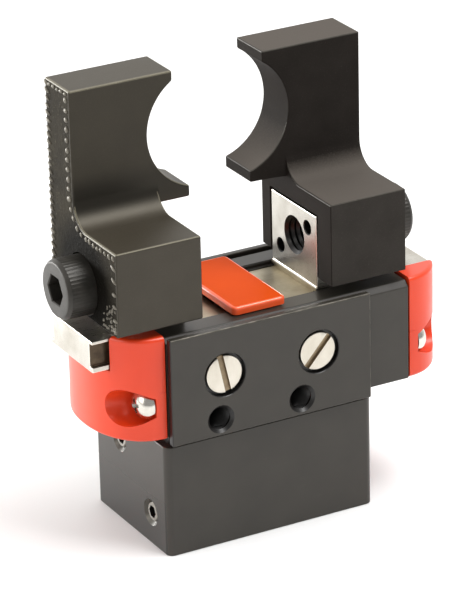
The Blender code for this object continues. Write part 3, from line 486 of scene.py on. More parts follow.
def lathe(profile, base, axis, segments=64, ripple=None):
    """Turned solid. profile is (radius, height) points that start and end on the axis, or a closed
    ring section off it. ripple(height, index) adds to the radius, for knurls."""
    bm = bmesh.new()
    stand = Matrix.Translation(Vector(base)) @ Vector(axis).to_track_quat("Z", "Y").to_matrix().to_4x4()
    rings = []
    for radius, height in profile:
        if radius == 0:
            rings.append([bm.verts.new(stand @ Vector((0, 0, height)))])
            continue
        ring = []
        for index in range(segments):
            angle = 2 * math.pi * index / segments
            reach = radius + (ripple(height, index) if ripple else 0)
            spot = Vector((reach * math.cos(angle), reach * math.sin(angle), height))
            ring.append(bm.verts.new(stand @ spot))
        rings.append(ring)
    if profile[0][0] > 0:
        rings.append(rings[0])
    for first, second in zip(rings, rings[1:]):
        for index in range(segments):
            after = (index + 1) % segments
            if len(first) == 1 and len(second) == 1:
                continue
            if len(first) == 1:
                bm.faces.new((first[0], second[index], second[after]))
            elif len(second) == 1:
                bm.faces.new((first[index], first[after], second[0]))
            else:
                bm.faces.new((first[index], first[after], second[after], second[index]))
    bmesh.ops.recalc_face_normals(bm, faces=bm.faces)
    return bm


def rounded(bm, width, segments=2, least=40, chosen=None, material=-1, clamp=True):
    """Rounds the edges that are sharper than least degrees, and that chosen(edge) accepts."""
    edges = [edge for edge in bm.edges
             if len(edge.link_faces) == 2 and edge.calc_face_angle() > math.radians(least)
             and (chosen is None or chosen(edge))]
    bmesh.ops.bevel(bm, geom=edges, offset=width, segments=segments, profile=0.5, affect="EDGES",
                    clamp_overlap=clamp, material=material)
    return bm


def to_object(name, bm, materials=(), index=0):
    """Makes an object in metres. Faces that have no material index of their own get index."""
    mesh = bpy.data.meshes.new(name)
    for face in bm.faces:
        face.material_index = face.material_index or index
    bmesh.ops.scale(bm, vec=(MM, MM, MM), verts=bm.verts)
    bm.to_mesh(mesh)
    bm.free()
    obj = add_object(name, mesh)
    for material in materials:
        mesh.materials.append(material)
    return obj


def apply_modifiers(obj):
    bpy.context.view_layer.update()
    graph = bpy.context.evaluated_depsgraph_get()
    mesh = bpy.data.meshes.new_from_object(obj.evaluated_get(graph), preserve_all_data_layers=True,
                                           depsgraph=graph)
    obj.modifiers.clear()
    old = obj.data
    obj.data = mesh
    bpy.data.meshes.remove(old)


def combine(obj, operation, tools, index=0):
    """Cuts or joins bmesh tools one after another; the new faces take material index."""
    for number, bm in enumerate(tools):
        tool = to_object(f"{obj.name}_tool_{number}", bm, list(obj.data.materials), index)
        modifier = obj.modifiers.new(tool.name, "BOOLEAN")
        modifier.object = tool
        modifier.operation = operation
        modifier.solver = "EXACT"
    tools = [modifier.object for modifier in obj.modifiers]
    apply_modifiers(obj)
    for tool in tools:
        bpy.data.objects.remove(tool, do_unlink=True)
    return obj


def cut(obj, *tools, index=0):
    return combine(obj, "DIFFERENCE", tools, index)


def fuse(obj, *tools, index=0):
    return combine(obj, "UNION", tools, index)


def soften(obj, width, segments=2, least=40, material=-1, chosen=None):
    """Rounds the sharp edges left after cutting; chosen is asked about points in metres."""
    bm = bmesh.new()
    bm.from_mesh(obj.data)
    bmesh.ops.remove_doubles(bm, verts=bm.verts, dist=0.002 * MM)
    bmesh.ops.dissolve_limit(bm, angle_limit=math.radians(0.5), verts=bm.verts, edges=bm.edges)
    rounded(bm, width * MM, segments, least, chosen, material, clamp=False)
    bm.to_mesh(obj.data)
    bm.free()
    return obj


def present(obj, node, smooth=32):
    """Shades the finished piece, and puts it in the place of its CAD node."""
    obj.data.shade_smooth()
    obj.data.set_sharp_from_angle(angle=math.radians(smooth))
    weighted = obj.modifiers.new("flat_faces", "WEIGHTED_NORMAL")
    weighted.keep_sharp = True
    apply_modifiers(obj)
    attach(obj, BODY_OF[node])
    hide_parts(node)
    return obj


# Threads in holes: outer radius, core radius and pitch
M4, M5, M6, M8 = (2.1, 1.75, 0.7), (2.5, 2.1, 0.8), (2.95, 2.5, 1.0), (4.15, 3.6, 1.25)
PROUD = 1.0  # how far a cutter stands out of the face that it enters


def thread(major, minor, pitch, start, end):
    """(radius, height) points of a thread's flanks between two heights."""
    turns = max(1, int(abs(end - start) / pitch))
    step = (end - start) / turns
    points = []
    for turn in range(turns):
        points += [(minor, start + step * turn), (major, start + step * (turn + 0.45)),
                   (major, start + step * (turn + 0.55))]
    return points + [(minor, end)]


def drill(radius, start, end, chamfer=0.0, segments=48):
    """Cutter for a plain hole from point start, on the face, to point end; it stands proud of the face."""
    start, end = Vector(start), Vector(end)
    depth = (end - start).length
    mouth = radius + chamfer
    step = [(mouth, 0), (radius, chamfer)] if chamfer else []
    profile = [(0, -PROUD), (mouth, -PROUD), *step, (radius, depth), (0, depth)]
    return lathe(profile, start, end - start, segments)


def tapped(size, start, end, chamfer=0.3, segments=48):
    """Cutter for a hole tapped to a thread size, from point start, on the face, to point end."""
    major, minor, pitch = size
    start, end = Vector(start), Vector(end)
    depth = (end - start).length
    mouth = major + chamfer
    profile = [(0, -PROUD), (mouth, -PROUD), (mouth, 0), (minor, mouth - minor)]
    profile += thread(major, minor, pitch, mouth - minor + 0.05, depth) + [(0, depth + 0.3 * minor)]
    return lathe(profile, start, end - start, segments)


def hexagon_socket(radius, mouth, face, lead, depth, point, place, sign):
    """Cutter for a hexagon socket in a head whose face is that far out along X; lead is its chamfer."""
    profile = [(0, face + PROUD), (mouth, face + PROUD), (radius, face - lead), (radius, face - depth),
               (0, face - point)]
    return lathe(profile, place, (sign, 0, 0), 6)


def mirrored(half):
    """Half of a section's (Y, Z) points, then their mirror images."""
    return half + [(-y, z) for y, z in reversed(half)]


def rounded_rectangle(half_x, half_y, radius, steps=8):
    points = []
    for quarter, (sx, sy) in enumerate(((1, 1), (-1, 1), (-1, -1), (1, -1))):
        for step in range(steps + 1):
            angle = math.radians(90 * (quarter + step / steps))
            points.append((sx * (half_x - radius) + radius * math.cos(angle),
                           sy * (half_y - radius) + radius * math.sin(angle)))
    return points


def node_box(node):
    """Lowest and highest corners of a CAD node, in millimetres."""
    low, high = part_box(node)
    return low / MM, high / MM


# ======== housing

BODY_LOW, BODY_HIGH = node_box("gripper_body")
CYLINDER_HALF_LENGTH, CYLINDER_HALF_DEPTH = -BODY_LOW.x, BODY_HIGH.y  # the lower block
CYLINDER_BLOCK_TOP, CYLINDER_EDGE = 25.3, 1.6
NECK_INSET = 0.6  # the neck above it stands this far inside the guide
HALF_LENGTH = node_box("front_plate")[1].x  # of the plates; the guide's left end
HALF_DEPTH = -node_box("front_plate")[1].y - 0.3  # of the guide
GUIDE_RIGHT = BODY_HIGH.x
GUIDE_TOP = BODY_HIGH.z
GUIDE_BOTTOM = 27.3
GUIDE_CHAMFER = 1.2
CHANNEL_HALF, CHANNEL_FLOOR = 9.8, 42.7
TONGUE_HALF, TONGUE_BOTTOM, TONGUE_TOP = 8.7, 44.4, 49.0
PIVOT_X, PIVOT_Z = 11.25, 39.63
MOUNT_Z = 29.75
MOUNT_X = (-12.5, 7.05)  # on the front; the rear has them mirrored
MOUNT_END = 8.5  # how near the middle the tapped holes reach
SKIN, WORN_AND_HIGHLIT, HOLE_SHADE, RIM, FOOT_SHADED, BEVEL_SHADE = range(6)  # material numbers, also on the plates
LEVER_HALF, CROSSHEAD_HALF = 2.4, 4.4  # half the depth of the room that each moves in
CROSSHEAD_ROOM = (7.0, CROSSHEAD_HALF, 31.0)  # half length, half depth and floor
LEVER_ROOM = (16.4, LEVER_HALF, 34.5)
PIVOT_BORE, SCREW_HOLE, SCREW_HOLE_DEPTH = 2.8, 1.6, 7.6
SCREW_Y, SCREW_Z = 12.3, 34.8
PORTS = [(-1, -8.6, 7.4), (-1, 5.0, 19.3), (1, 8.6, 7.4), (1, -5.0, 19.3)]  # side, Y, Z
BASE_SCREW_X, BASE_SCREW_Y, BASE_DOWEL_X = 16.4, 12.2, 19.0
BASE_SCREW_DEPTH, BASE_DOWEL_RADIUS, BASE_DOWEL_DEPTH = 9, 2.0, 6
PORT_CHAMFER, PORT_BORE = 0.55, 1.25
BORE_RADIUS, BORE_TOP = 12.5, 19.4


def guide_outline():
    half, top, edge = HALF_DEPTH, GUIDE_TOP, GUIDE_CHAMFER
    return [(-half, GUIDE_BOTTOM), (half, GUIDE_BOTTOM), (half, top - edge), (half - edge, top),
            (edge - half, top), (-half, top - edge)]


def channel_outline():
    """The slideway's section with its broken top edge."""
    broken = 0.3
    return mirrored([
        (CHANNEL_HALF, CHANNEL_FLOOR), (CHANNEL_HALF, TONGUE_BOTTOM), (TONGUE_HALF, TONGUE_BOTTOM),
        (TONGUE_HALF, TONGUE_TOP), (CHANNEL_HALF, TONGUE_TOP), (CHANNEL_HALF, GUIDE_TOP - broken),
        (CHANNEL_HALF + broken, GUIDE_TOP), (CHANNEL_HALF + broken, GUIDE_TOP + 2)])


def bore_profile():
    seat, groove, clearance = 5.9, 6.4, 4.3
    return [(0, 32.0), (seat, 32.0), (seat, 24.0), (clearance, 24.0), (clearance, 23.0), (groove, 23.0),
            (groove, 20.6), (clearance, 20.6), (clearance, BORE_TOP), (BORE_RADIUS, BORE_TOP),
            (BORE_RADIUS, 2.2), (BORE_RADIUS + 0.8, 2.2), (BORE_RADIUS + 0.8, 0.8), (BORE_RADIUS, 0.8),
            (BORE_RADIUS, 0.4), (BORE_RADIUS + 0.4, 0), (BORE_RADIUS + 0.4, -1), (0, -1)]


def make_body():
    outline = rounded_rectangle(CYLINDER_HALF_LENGTH, CYLINDER_HALF_DEPTH, CYLINDER_EDGE)
    base = prism(outline, "XY", 0, CYLINDER_BLOCK_TOP)
    rounded(base, 0.3, 3, 60, lambda edge: abs(edge.verts[0].co.z - edge.verts[1].co.z) < 0.0001)
    body = to_object("gripper_housing", base, [ANODISED, ANODISED_EDGE_WORN_AND_HIGHLIT, HOLE_PAINTED_SHADE, PORT_RIM, ANODISED_FOOT_SHADED,
                                              ANODISED_BEVEL_SHADED])
    outline = rounded_rectangle(HALF_LENGTH - NECK_INSET, HALF_DEPTH - NECK_INSET, CYLINDER_EDGE)
    neck = prism(outline, "XY", CYLINDER_BLOCK_TOP - 2, GUIDE_BOTTOM + 2)
    # the neck takes the holes' near-black painted shade, so the joint groove under the plates reads dark
    for face in neck.faces:
        face.material_index = HOLE_SHADE
    guide = prism(guide_outline(), "YZ", -HALF_LENGTH, GUIDE_RIGHT)
    rounded(guide, 0.22, 2, 30, lambda edge: min(v.co.z for v in edge.verts) > GUIDE_BOTTOM + 1
            or abs(edge.verts[0].co.x - edge.verts[1].co.x) < 0.01)
    fuse(body, neck, guide)
    cut(body, prism(channel_outline(), "YZ", -HALF_LENGTH - 1, GUIDE_RIGHT + 1))
    cut(body, *[block((-half_x, -half_y, low), (half_x, half_y, CHANNEL_FLOOR + 1))
                for half_x, half_y, low in (CROSSHEAD_ROOM, LEVER_ROOM)])
    holes = [lathe(bore_profile(), (0, 0, 0), (0, 0, 1), 96)]
    for sign in (-1, 1):
        x = sign * PIVOT_X
        holes.append(drill(PIVOT_BORE, (x, -HALF_DEPTH, PIVOT_Z), (x, HALF_DEPTH + 1, PIVOT_Z)))
        x = sign * BASE_DOWEL_X
        holes.append(drill(BASE_DOWEL_RADIUS, (x, 0, 0), (x, 0, BASE_DOWEL_DEPTH), 0.3))
        for y_sign in (-1, 1):
            x, y = sign * BASE_SCREW_X, y_sign * BASE_SCREW_Y
            holes.append(tapped(M4, (x, y, 0), (x, y, BASE_SCREW_DEPTH)))
            for face, inward in ((-HALF_LENGTH, 1), (GUIDE_RIGHT, -1)):
                y = y_sign * SCREW_Y
                deep = face + SCREW_HOLE_DEPTH * inward
                holes.append(drill(SCREW_HOLE, (face, y, SCREW_Z), (deep, y, SCREW_Z), 0.2, 24))
            for x in MOUNT_X:
                x *= -y_sign
                holes.append(tapped(M6, (x, y_sign * HALF_DEPTH, MOUNT_Z),
                                    (x, y_sign * MOUNT_END, MOUNT_Z), 0.1))
    for side, y, z in PORTS:
        mouth = side * CYLINDER_HALF_LENGTH
        holes.append(tapped(M5, (mouth, y, z), (side * 18.5, y, z), PORT_CHAMFER))
        holes.append(drill(PORT_BORE, (side * 18.6, y, z), (side * 9.0, y, z), 0, 24))
    # the holes take the near-black painted shade
    cut(body, *holes, index=HOLE_SHADE)
    for face in body.data.polygons:
        middle, normal = face.center / MM, face.normal
        in_port = abs(middle.x) > CYLINDER_HALF_LENGTH - PORT_CHAMFER and face.material_index == HOLE_SHADE
        if in_port and 0.3 < abs(normal.x) < 0.9:
            face.material_index = RIM
        # painted shade towards the bottom of the body's left face
        elif normal.x < -0.9 and middle.x < 0.1 - CYLINDER_HALF_LENGTH:
            face.material_index = FOOT_SHADED
        # painted shade: the guide's top chamfer takes the duller, darker copy
        elif middle.z > GUIDE_TOP - GUIDE_CHAMFER and 0.5 < abs(normal.y) < 0.9 and normal.z > 0.5:
            face.material_index = BEVEL_SHADE
    return present(body, "gripper_body")


PLATE_EDGE = 0.28
PLATE_OUTER, PLATE_INNER = 18.0, 16.4  # the plates' faces, counted from Y = 0
SEAT_RADIUS, SEAT_FLOOR = 4.87, 16.8  # of the counterbore round a pivot's head


def make_plate(node, y_sign):
    low, high = node_box(node)
    plate = to_object(node + "_detail", rounded(block(low, high), PLATE_EDGE, 3, material=WORN_AND_HIGHLIT),
                      [ANODISED, ANODISED_EDGE_WORN_AND_HIGHLIT, HOLE_PAINTED_SHADE])
    outer, inner = y_sign * PLATE_OUTER, y_sign * PLATE_INNER
    holes = []
    for x in MOUNT_X:
        x *= -y_sign
        holes.append(tapped(M6, (x, outer, MOUNT_Z), (x, inner - y_sign, MOUNT_Z), 0.2))
    for sign in (-1, 1):
        x = sign * PIVOT_X
        floor = y_sign * SEAT_FLOOR
        holes.append(drill(SEAT_RADIUS, (x, outer, PIVOT_Z), (x, floor, PIVOT_Z), 0.15, 96))
        holes.append(drill(PIVOT_BORE, (x, outer, PIVOT_Z), (x, inner - y_sign, PIVOT_Z)))
    # the holes take the near-black painted shade
    cut(plate, *holes, index=HOLE_SHADE)
    for face in plate.data.polygons:
        middle = face.center / MM
        # edge wear with painted highlight is kept on the top and right edges only
        if face.material_index == WORN_AND_HIGHLIT and middle.z < high.z - 1 and middle.x < high.x - 1:
            face.material_index = SKIN
        if face.normal.x < -0.3 and middle.x < low.x + 1:  # painted shade: the left end is painted near black as the left cover's shade
            face.material_index = HOLE_SHADE
    return present(plate, node)


SLOT_WIDTH, SLOT_DEPTH = 1.4, 0.6
HEAD_RADIUS, HEAD_UNDER, HEAD_TOP = 4.22, 16.85, 17.6
PIN_RADIUS, PIN_END = 2.5, 15.8


def slot_cutter(x, y_sign, angle):
    bar = block((-SLOT_WIDTH / 2, -SLOT_DEPTH, -6), (SLOT_WIDTH / 2, 1.0, 6))
    turn = Matrix.Rotation(math.radians(angle), 4, "Y")
    flip = Matrix.Rotation(math.pi if y_sign < 0 else 0, 4, "Z")
    matrix = Matrix.Translation((x, y_sign * HEAD_TOP, PIVOT_Z)) @ turn @ flip
    bmesh.ops.transform(bar, matrix=matrix, verts=bar.verts)
    return bar


def make_pivot(side, slot_angle, rear_angle):
    x = SIDES[side] * PIVOT_X
    edge = 0.25
    head = [(0, HEAD_TOP), (HEAD_RADIUS - edge, HEAD_TOP), (HEAD_RADIUS - 0.07, HEAD_TOP - 0.07),
            (HEAD_RADIUS, HEAD_TOP - edge), (HEAD_RADIUS, HEAD_UNDER)]
    shaft = [(PIN_RADIUS, HEAD_UNDER), (PIN_RADIUS, -PIN_END), (0, -PIN_END)]
    pin = to_object(f"pivot_pin_{side}_detail", lathe(head + shaft, (x, 0, PIVOT_Z), (0, -1, 0), 96),
                    [DISC, SLOT_STAIN])
    cut(pin, slot_cutter(x, -1, slot_angle), drill(1.8, (x, PIN_END, PIVOT_Z), (x, 8, PIVOT_Z)), index=1)
    present(pin, f"pivot_pin_{side}")
    shank = thread(1.5, 1.25, 0.6, HEAD_UNDER - 0.2, 9.2)
    screw = to_object(f"pivot_screw_{side}_detail",
                      lathe(head + [(1.25, HEAD_UNDER)] + shank + [(0, 9)], (x, 0, PIVOT_Z), (0, 1, 0), 96),
                      [DISC, SLOT_STAIN])
    cut(screw, slot_cutter(x, 1, rear_angle), index=1)
    present(screw, f"pivot_screw_{side}")


# ======== covers and their screws

COVER_LENGTH, COVER_POWER = 11.7, 2.15
COVER_BOTTOM, COVER_TOP = 27.2, 50.5
COVER_ROUND = 0.9
COVER_INNER = {"left": HALF_LENGTH + 0.3, "right": GUIDE_RIGHT + 0.3}
COVER_SEAT = 2.2  # from a cover's inner face to the floor of its screw pockets
POCKET_RADIUS = 4.15
SEAM_Z = SCREW_Z + 3.3


def cover_outline(grow=0.0, steps=64):
    """Rounded plan of an end cover: (distance from its inner face, Y)."""
    points = []
    for step in range(steps + 1):
        angle = math.pi * (step / steps - 0.5)
        out, across = math.cos(angle), math.sin(angle)
        points.append(((COVER_LENGTH + grow) * abs(out) ** (2 / COVER_POWER),
                       (HALF_DEPTH + grow) * math.copysign(abs(across) ** (2 / COVER_POWER), across)))
    points[0], points[-1] = (0, -HALF_DEPTH - grow), (0, HALF_DEPTH + grow)
    return points


def make_cover(side):
    sign, inner = SIDES[side], COVER_INNER[side]
    outline = [(sign * (inner + out), y) for out, y in cover_outline()]
    bm = prism(outline, "XY", COVER_BOTTOM, COVER_TOP)
    rounded(bm, COVER_ROUND, 4, 40, lambda edge: abs(edge.verts[0].co.z - edge.verts[1].co.z) < 0.01
            and max(abs(v.co.x) for v in edge.verts) > inner + 0.05)
    cover = to_object(f"end_cover_{side}_detail", bm, [RED])
    cut(cover, side_block(side, (inner - 1, inner + 20), (-CHANNEL_HALF, CHANNEL_HALF),
                          (CHANNEL_FLOOR, COVER_TOP + 1)),
        side_block(side, (inner - 1, inner + 9.3), (-7.0, 7.0), (COVER_BOTTOM + 1.8, CHANNEL_FLOOR + 1)))
    seat = inner + COVER_SEAT
    groove = 0.12
    for y_sign in (-1, 1):
        y = y_sign * SCREW_Y
        near, far = sorted((y_sign * (HALF_DEPTH - groove), y_sign * (HALF_DEPTH + 1)))
        cut(cover, drill(POCKET_RADIUS, (sign * (inner + 20), y, SCREW_Z), (sign * seat, y, SCREW_Z), 0, 96),
            drill(SCREW_HOLE, (sign * (seat + 1), y, SCREW_Z), (sign * (inner - 1), y, SCREW_Z), 0, 24),
            side_block(side, (inner - 1, inner + 4.4), (near, far), (SEAM_Z - 0.06, SEAM_Z + 0.06)))
    return present(cover, f"end_cover_{side}", 40)


def cross_recess(sign, base_x, y, z, turn):
    """Tapered four-winged recess of a Phillips screw."""
    wings = []
    for quarter in (0, 90):
        mouth, tip, wide, narrow, depth = 1.95, 0.9, 0.42, 0.3, 1.5
        bm = loft([(0.9, sy * wide, sz * mouth) for sy, sz in CORNERS],
                  [(-depth, sy * narrow, sz * tip) for sy, sz in CORNERS])
        spin = Matrix.Rotation(math.radians(quarter + turn), 4, "X")
        flip = Matrix.Rotation(0 if sign > 0 else math.pi, 4, "Z")
        bmesh.ops.transform(bm, matrix=Matrix.Translation((base_x, y, z)) @ flip @ spin, verts=bm.verts)
        wings.append(bm)
    return wings


def make_cover_screw(side, end, turn):
    sign, inner = SIDES[side], COVER_INNER[side]
    y = SCREW_Y if end == "rear" else -SCREW_Y
    under = inner + COVER_SEAT + 0.3
    tall, wide, wall = 3.0, 3.5, 0.35  # of the head, and its straight rim
    dome = []
    steps = 12
    for step in range(steps + 1):
        angle = math.radians(90 * step / steps)
        reach = wide * math.sin(angle) ** 0.8 if step else 0
        dome.append((reach, under + wall + (tall - wall) * math.cos(angle)))
    shank = thread(1.45, 1.15, 0.7, under - 0.3, under - 9.0)
    profile = dome + [(wide, under), (1.15, under)] + shank + [(0, under - 9.3)]
    screw = to_object(f"cover_screw_{side}_{end}_detail",
                      lathe(profile, (0, y, SCREW_Z), (sign, 0, 0), 64), [ZINC, SLOT_STAIN])
    cut(screw, *cross_recess(sign, sign * (under + tall - 0.15), y, SCREW_Z, turn))
    return present(screw, f"cover_screw_{side}_{end}", 30)


def make_centre_cover():
    low, high = node_box("centre_cover")
    bm = prism(rounded_rectangle(high.x, high.y, 1.2, 10), "XY", low.z, high.z)
    # the rounded top edge takes the painted highlight
    rounded(bm, 0.55, 4, 60, lambda edge: all(v.co.z > high.z - 0.01 for v in edge.verts), 1)
    cover = to_object("centre_cover_detail", bm, [ORANGE, ORANGE_EDGE_HIGHLIGHT])
    # painted highlight: the sides take the brighter orange too
    for face in cover.data.polygons:
        if abs(face.normal.z) < 0.5:
            face.material_index = 1
    return present(cover, "centre_cover", 40)


def make_plug(name, side, y, z):
    outer = CYLINDER_HALF_LENGTH - 0.4
    profile = [(0, outer), (1.9, outer), (2.1, outer - 0.25)]
    profile += thread(2.2, 1.9, 0.8, outer - 0.3, outer - 5.2) + [(1.6, outer - 5.4), (0, outer - 5.4)]
    plug = to_object(name + "_detail", lathe(profile, (0, y, z), (side, 0, 0), 48), [PLUG_STEEL, HOLE_PAINTED_SHADE])
    # the hexagon socket takes the near-black painted shade
    cut(plug, hexagon_socket(1.44, 1.75, outer, 0.15, 2.5, 3.2, (0, y, z), side), index=1)
    return present(plug, name, 30)


# ======== jaws

JAW_INNER_END, JAW_BOTTOM, JAW_TOP, JAW_INNER_TOP = 5.5, 43.0, 50.0, 48.9
JAW_HALF, GROOVE_HALF, GROOVE_BOTTOM, GROOVE_TOP = 9.5, 8.4, 44.1, 49.3
TAB_INNER, TAB_OUTER, TAB_FRONT, TAB_BACK, TAB_TOP = 15.93, 26.3, -9.48, 9.7, 66.2
FINGER_HOLE_Z = 59.0
DOWELS = [(-5.64, 3.57), (5.99, -4.4)]  # Y and Z from the M8 hole, on the right tab
FOOT_FILLET = 0.4  # at the foot of the tab's inner face
JAW_MATERIALS = [GROUND, GROUND_EDGE_HIGHLIGHT, HOLE_PAINTED_SHADE, GROUND_STEP_SHADED, GROUND_GROOVE, GROUND_TAB_SHADED]
STEP_SHADE, GROOVE, TAB_SHADE = range(3, 6)  # the last three of them; the first are the skin, the edges with painted highlight and the holes' painted shade


def jaw_section():
    return mirrored([(JAW_HALF, JAW_BOTTOM), (JAW_HALF, GROOVE_BOTTOM), (GROOVE_HALF, GROOVE_BOTTOM),
                     (GROOVE_HALF, GROOVE_TOP), (JAW_HALF, GROOVE_TOP), (JAW_HALF, JAW_TOP)])


def make_jaw(side):
    sign = SIDES[side]
    low, high = node_box(f"jaw_{side}")
    end = high.x if sign > 0 else -low.x
    bm = prism(jaw_section(), "YZ", *span(side, JAW_INNER_END, end))
    # the rounded edges take the painted highlight
    rounded(bm, 0.18, 2, material=WORN_AND_HIGHLIT)
    jaw = to_object(f"jaw_{side}_detail", bm, JAW_MATERIALS)
    # painted shade: the cut inner step takes the darker copy
    cut(jaw, side_block(side, (JAW_INNER_END - 1, TAB_INNER - FOOT_FILLET), (-12, 12),
                        (JAW_INNER_TOP, JAW_TOP + 1)), index=STEP_SHADE)
    for face in jaw.data.polygons:
        if abs(face.normal.y) > 0.9 and abs(abs(face.center.y) / MM - GROOVE_HALF) < 0.05:
            face.material_index = GROOVE
    tab = side_block(side, (TAB_INNER, TAB_OUTER), (TAB_FRONT, TAB_BACK), (JAW_TOP - 0.5, TAB_TOP))
    # the tab's upper edges take the painted highlight
    rounded(tab, 0.2, 2, chosen=lambda edge: max(v.co.z for v in edge.verts) > JAW_TOP, material=WORN_AND_HIGHLIT)
    fuse(jaw, tab)
    # the fillet at the tab's foot takes the painted highlight
    foot = [(TAB_INNER - FOOT_FILLET, JAW_TOP - 0.2), (TAB_INNER + 0.2, JAW_TOP - 0.2),
            (TAB_INNER + 0.2, JAW_TOP + FOOT_FILLET)]
    for step in range(7):
        angle = math.radians(90 * step / 6)
        foot.append((TAB_INNER - FOOT_FILLET * (1 - math.cos(angle)),
                     JAW_TOP + FOOT_FILLET * (1 - math.sin(angle))))
    fuse(jaw, prism([(sign * x, z) for x, z in foot], "XZ", TAB_FRONT + 0.3, TAB_BACK - 0.3),
         index=WORN_AND_HIGHLIT)
    pocket = PIVOT_X + 2.5
    cut(jaw, side_block(side, (JAW_INNER_END - 1, pocket + 5.6), (-LEVER_HALF, LEVER_HALF),
                        (JAW_BOTTOM - 1, 43.9)),
        side_block(side, (pocket - 2, pocket + 2), (-LEVER_HALF, LEVER_HALF), (JAW_BOTTOM - 1, 47.8)),
        side_block(side, (JAW_INNER_END - 1, 10.0), (-CROSSHEAD_HALF, CROSSHEAD_HALF),
                   (JAW_BOTTOM - 1, 46.2)))
    holes = [tapped(M8, (sign * TAB_INNER, 0, FINGER_HOLE_Z),
                    (sign * (TAB_OUTER + 1), 0, FINGER_HOLE_Z), 0.15, segments=64)]
    for y, z in DOWELS:
        holes.append(drill(1.5, (sign * TAB_INNER, y * sign, FINGER_HOLE_Z + z),
                           (sign * (TAB_OUTER + 1), y * sign, FINGER_HOLE_Z + z), 0.2))
    # the holes take the near-black painted shade
    cut(jaw, *holes, index=HOLE_SHADE)
    # painted shade: the tab's inner face takes the darker copy
    for face in jaw.data.polygons:
        if face.normal.x * sign < -0.9 and face.center.z > JAW_TOP * MM and face.material_index == SKIN:
            face.material_index = TAB_SHADE
    return present(jaw, f"jaw_{side}")


# ======== fingers

FINGER_OUTER = {"left": 34.6, "right": 34.2}
FINGER_FRONT, FINGER_BACK = -15.67, 14.0
FINGER_INNER = {"left": 14.8, "right": 15.93}
BLOCK_BOTTOM, BLOCK_TOP = 52.36, 70.9
ARM_FRONT, ARM_TOP = 3.02, 100.4
LIP_X, LIP_Z = 10.63, 98.1
HORN_X, HORN_BOTTOM, HORN_TOP = 7.27, 71.74, 74.25
GRIP_X, GRIP_Z = 3.6, 86.8
FILLET = 5.5
FINGER_EDGE = {"left": 0.42, "right": 0.28}
HEAD_FACE = {"left": 41.0, "right": 42.0}
HEAD_LENGTH, KNURL_DEPTH = 8.0, 0.10


def grip_arc(steps=40):
    """Gripping arc from the upper lip round to the horn, the radius easing between its two ends."""
    start = Vector((LIP_X - GRIP_X, LIP_Z - GRIP_Z))
    end = Vector((HORN_X - GRIP_X, HORN_TOP - GRIP_Z))
    first, last = math.atan2(start.y, start.x), math.atan2(end.y, end.x)
    points = []
    for step in range(steps + 1):
        share = step / steps
        angle = first + (last - first) * share
        radius = start.length + (end.length - start.length) * share
        points.append((GRIP_X + radius * math.cos(angle), GRIP_Z + radius * math.sin(angle)))
    return points


def arm_outline(side):
    inner, outer, foot = FINGER_INNER[side], FINGER_OUTER[side], BLOCK_TOP - 4
    return [(outer, ARM_TOP), (LIP_X, ARM_TOP), *grip_arc(), (HORN_X, HORN_BOTTOM),
            (inner, HORN_BOTTOM), (inner, foot), (outer, foot)]


def fillet_arc(steps, offset=0.0):
    """The fillet's (Y, Z) points from the arm down to the block's top, moved into the material by offset."""
    radius = FILLET + offset
    points = []
    for step in range(steps + 1):
        angle = math.radians(90 * step / steps)
        points.append((ARM_FRONT - FILLET + radius * math.cos(angle),
                       BLOCK_TOP + FILLET - radius * math.sin(angle)))
    return points


def fillet_outline():
    behind, below = ARM_FRONT + 1, BLOCK_TOP - 1
    return [(ARM_FRONT - FILLET, below), (behind, below), (behind, BLOCK_TOP + FILLET), *fillet_arc(14)]


OUTER, FRONT_LIT = 2, 3  # a finger's material numbers after the skin and the edges with painted highlight; the front one has painted light


def sort_faces(obj, side):
    """Keeps the painted highlight on the rounded edges that look up, and gives the finger's outermost face
    and its block's front face materials of their own, the front one a lighter copy with painted light."""
    limit = FINGER_OUTER[side] * MM - 0.00002
    for face in obj.data.polygons:
        # the painted highlight stays only on rounded edges that look up
        if face.material_index == WORN_AND_HIGHLIT and not 0.25 < face.normal.z < 0.97:
            face.material_index = SKIN
        if face.normal.x * SIDES[side] > 0.9 and face.center.x * SIDES[side] > limit:
            face.material_index = OUTER
        # painted light: the block's front face takes the lighter copy
        if face.normal.y < -0.9 and face.center.y < (FINGER_FRONT + 0.1) * MM:
            face.material_index = FRONT_LIT


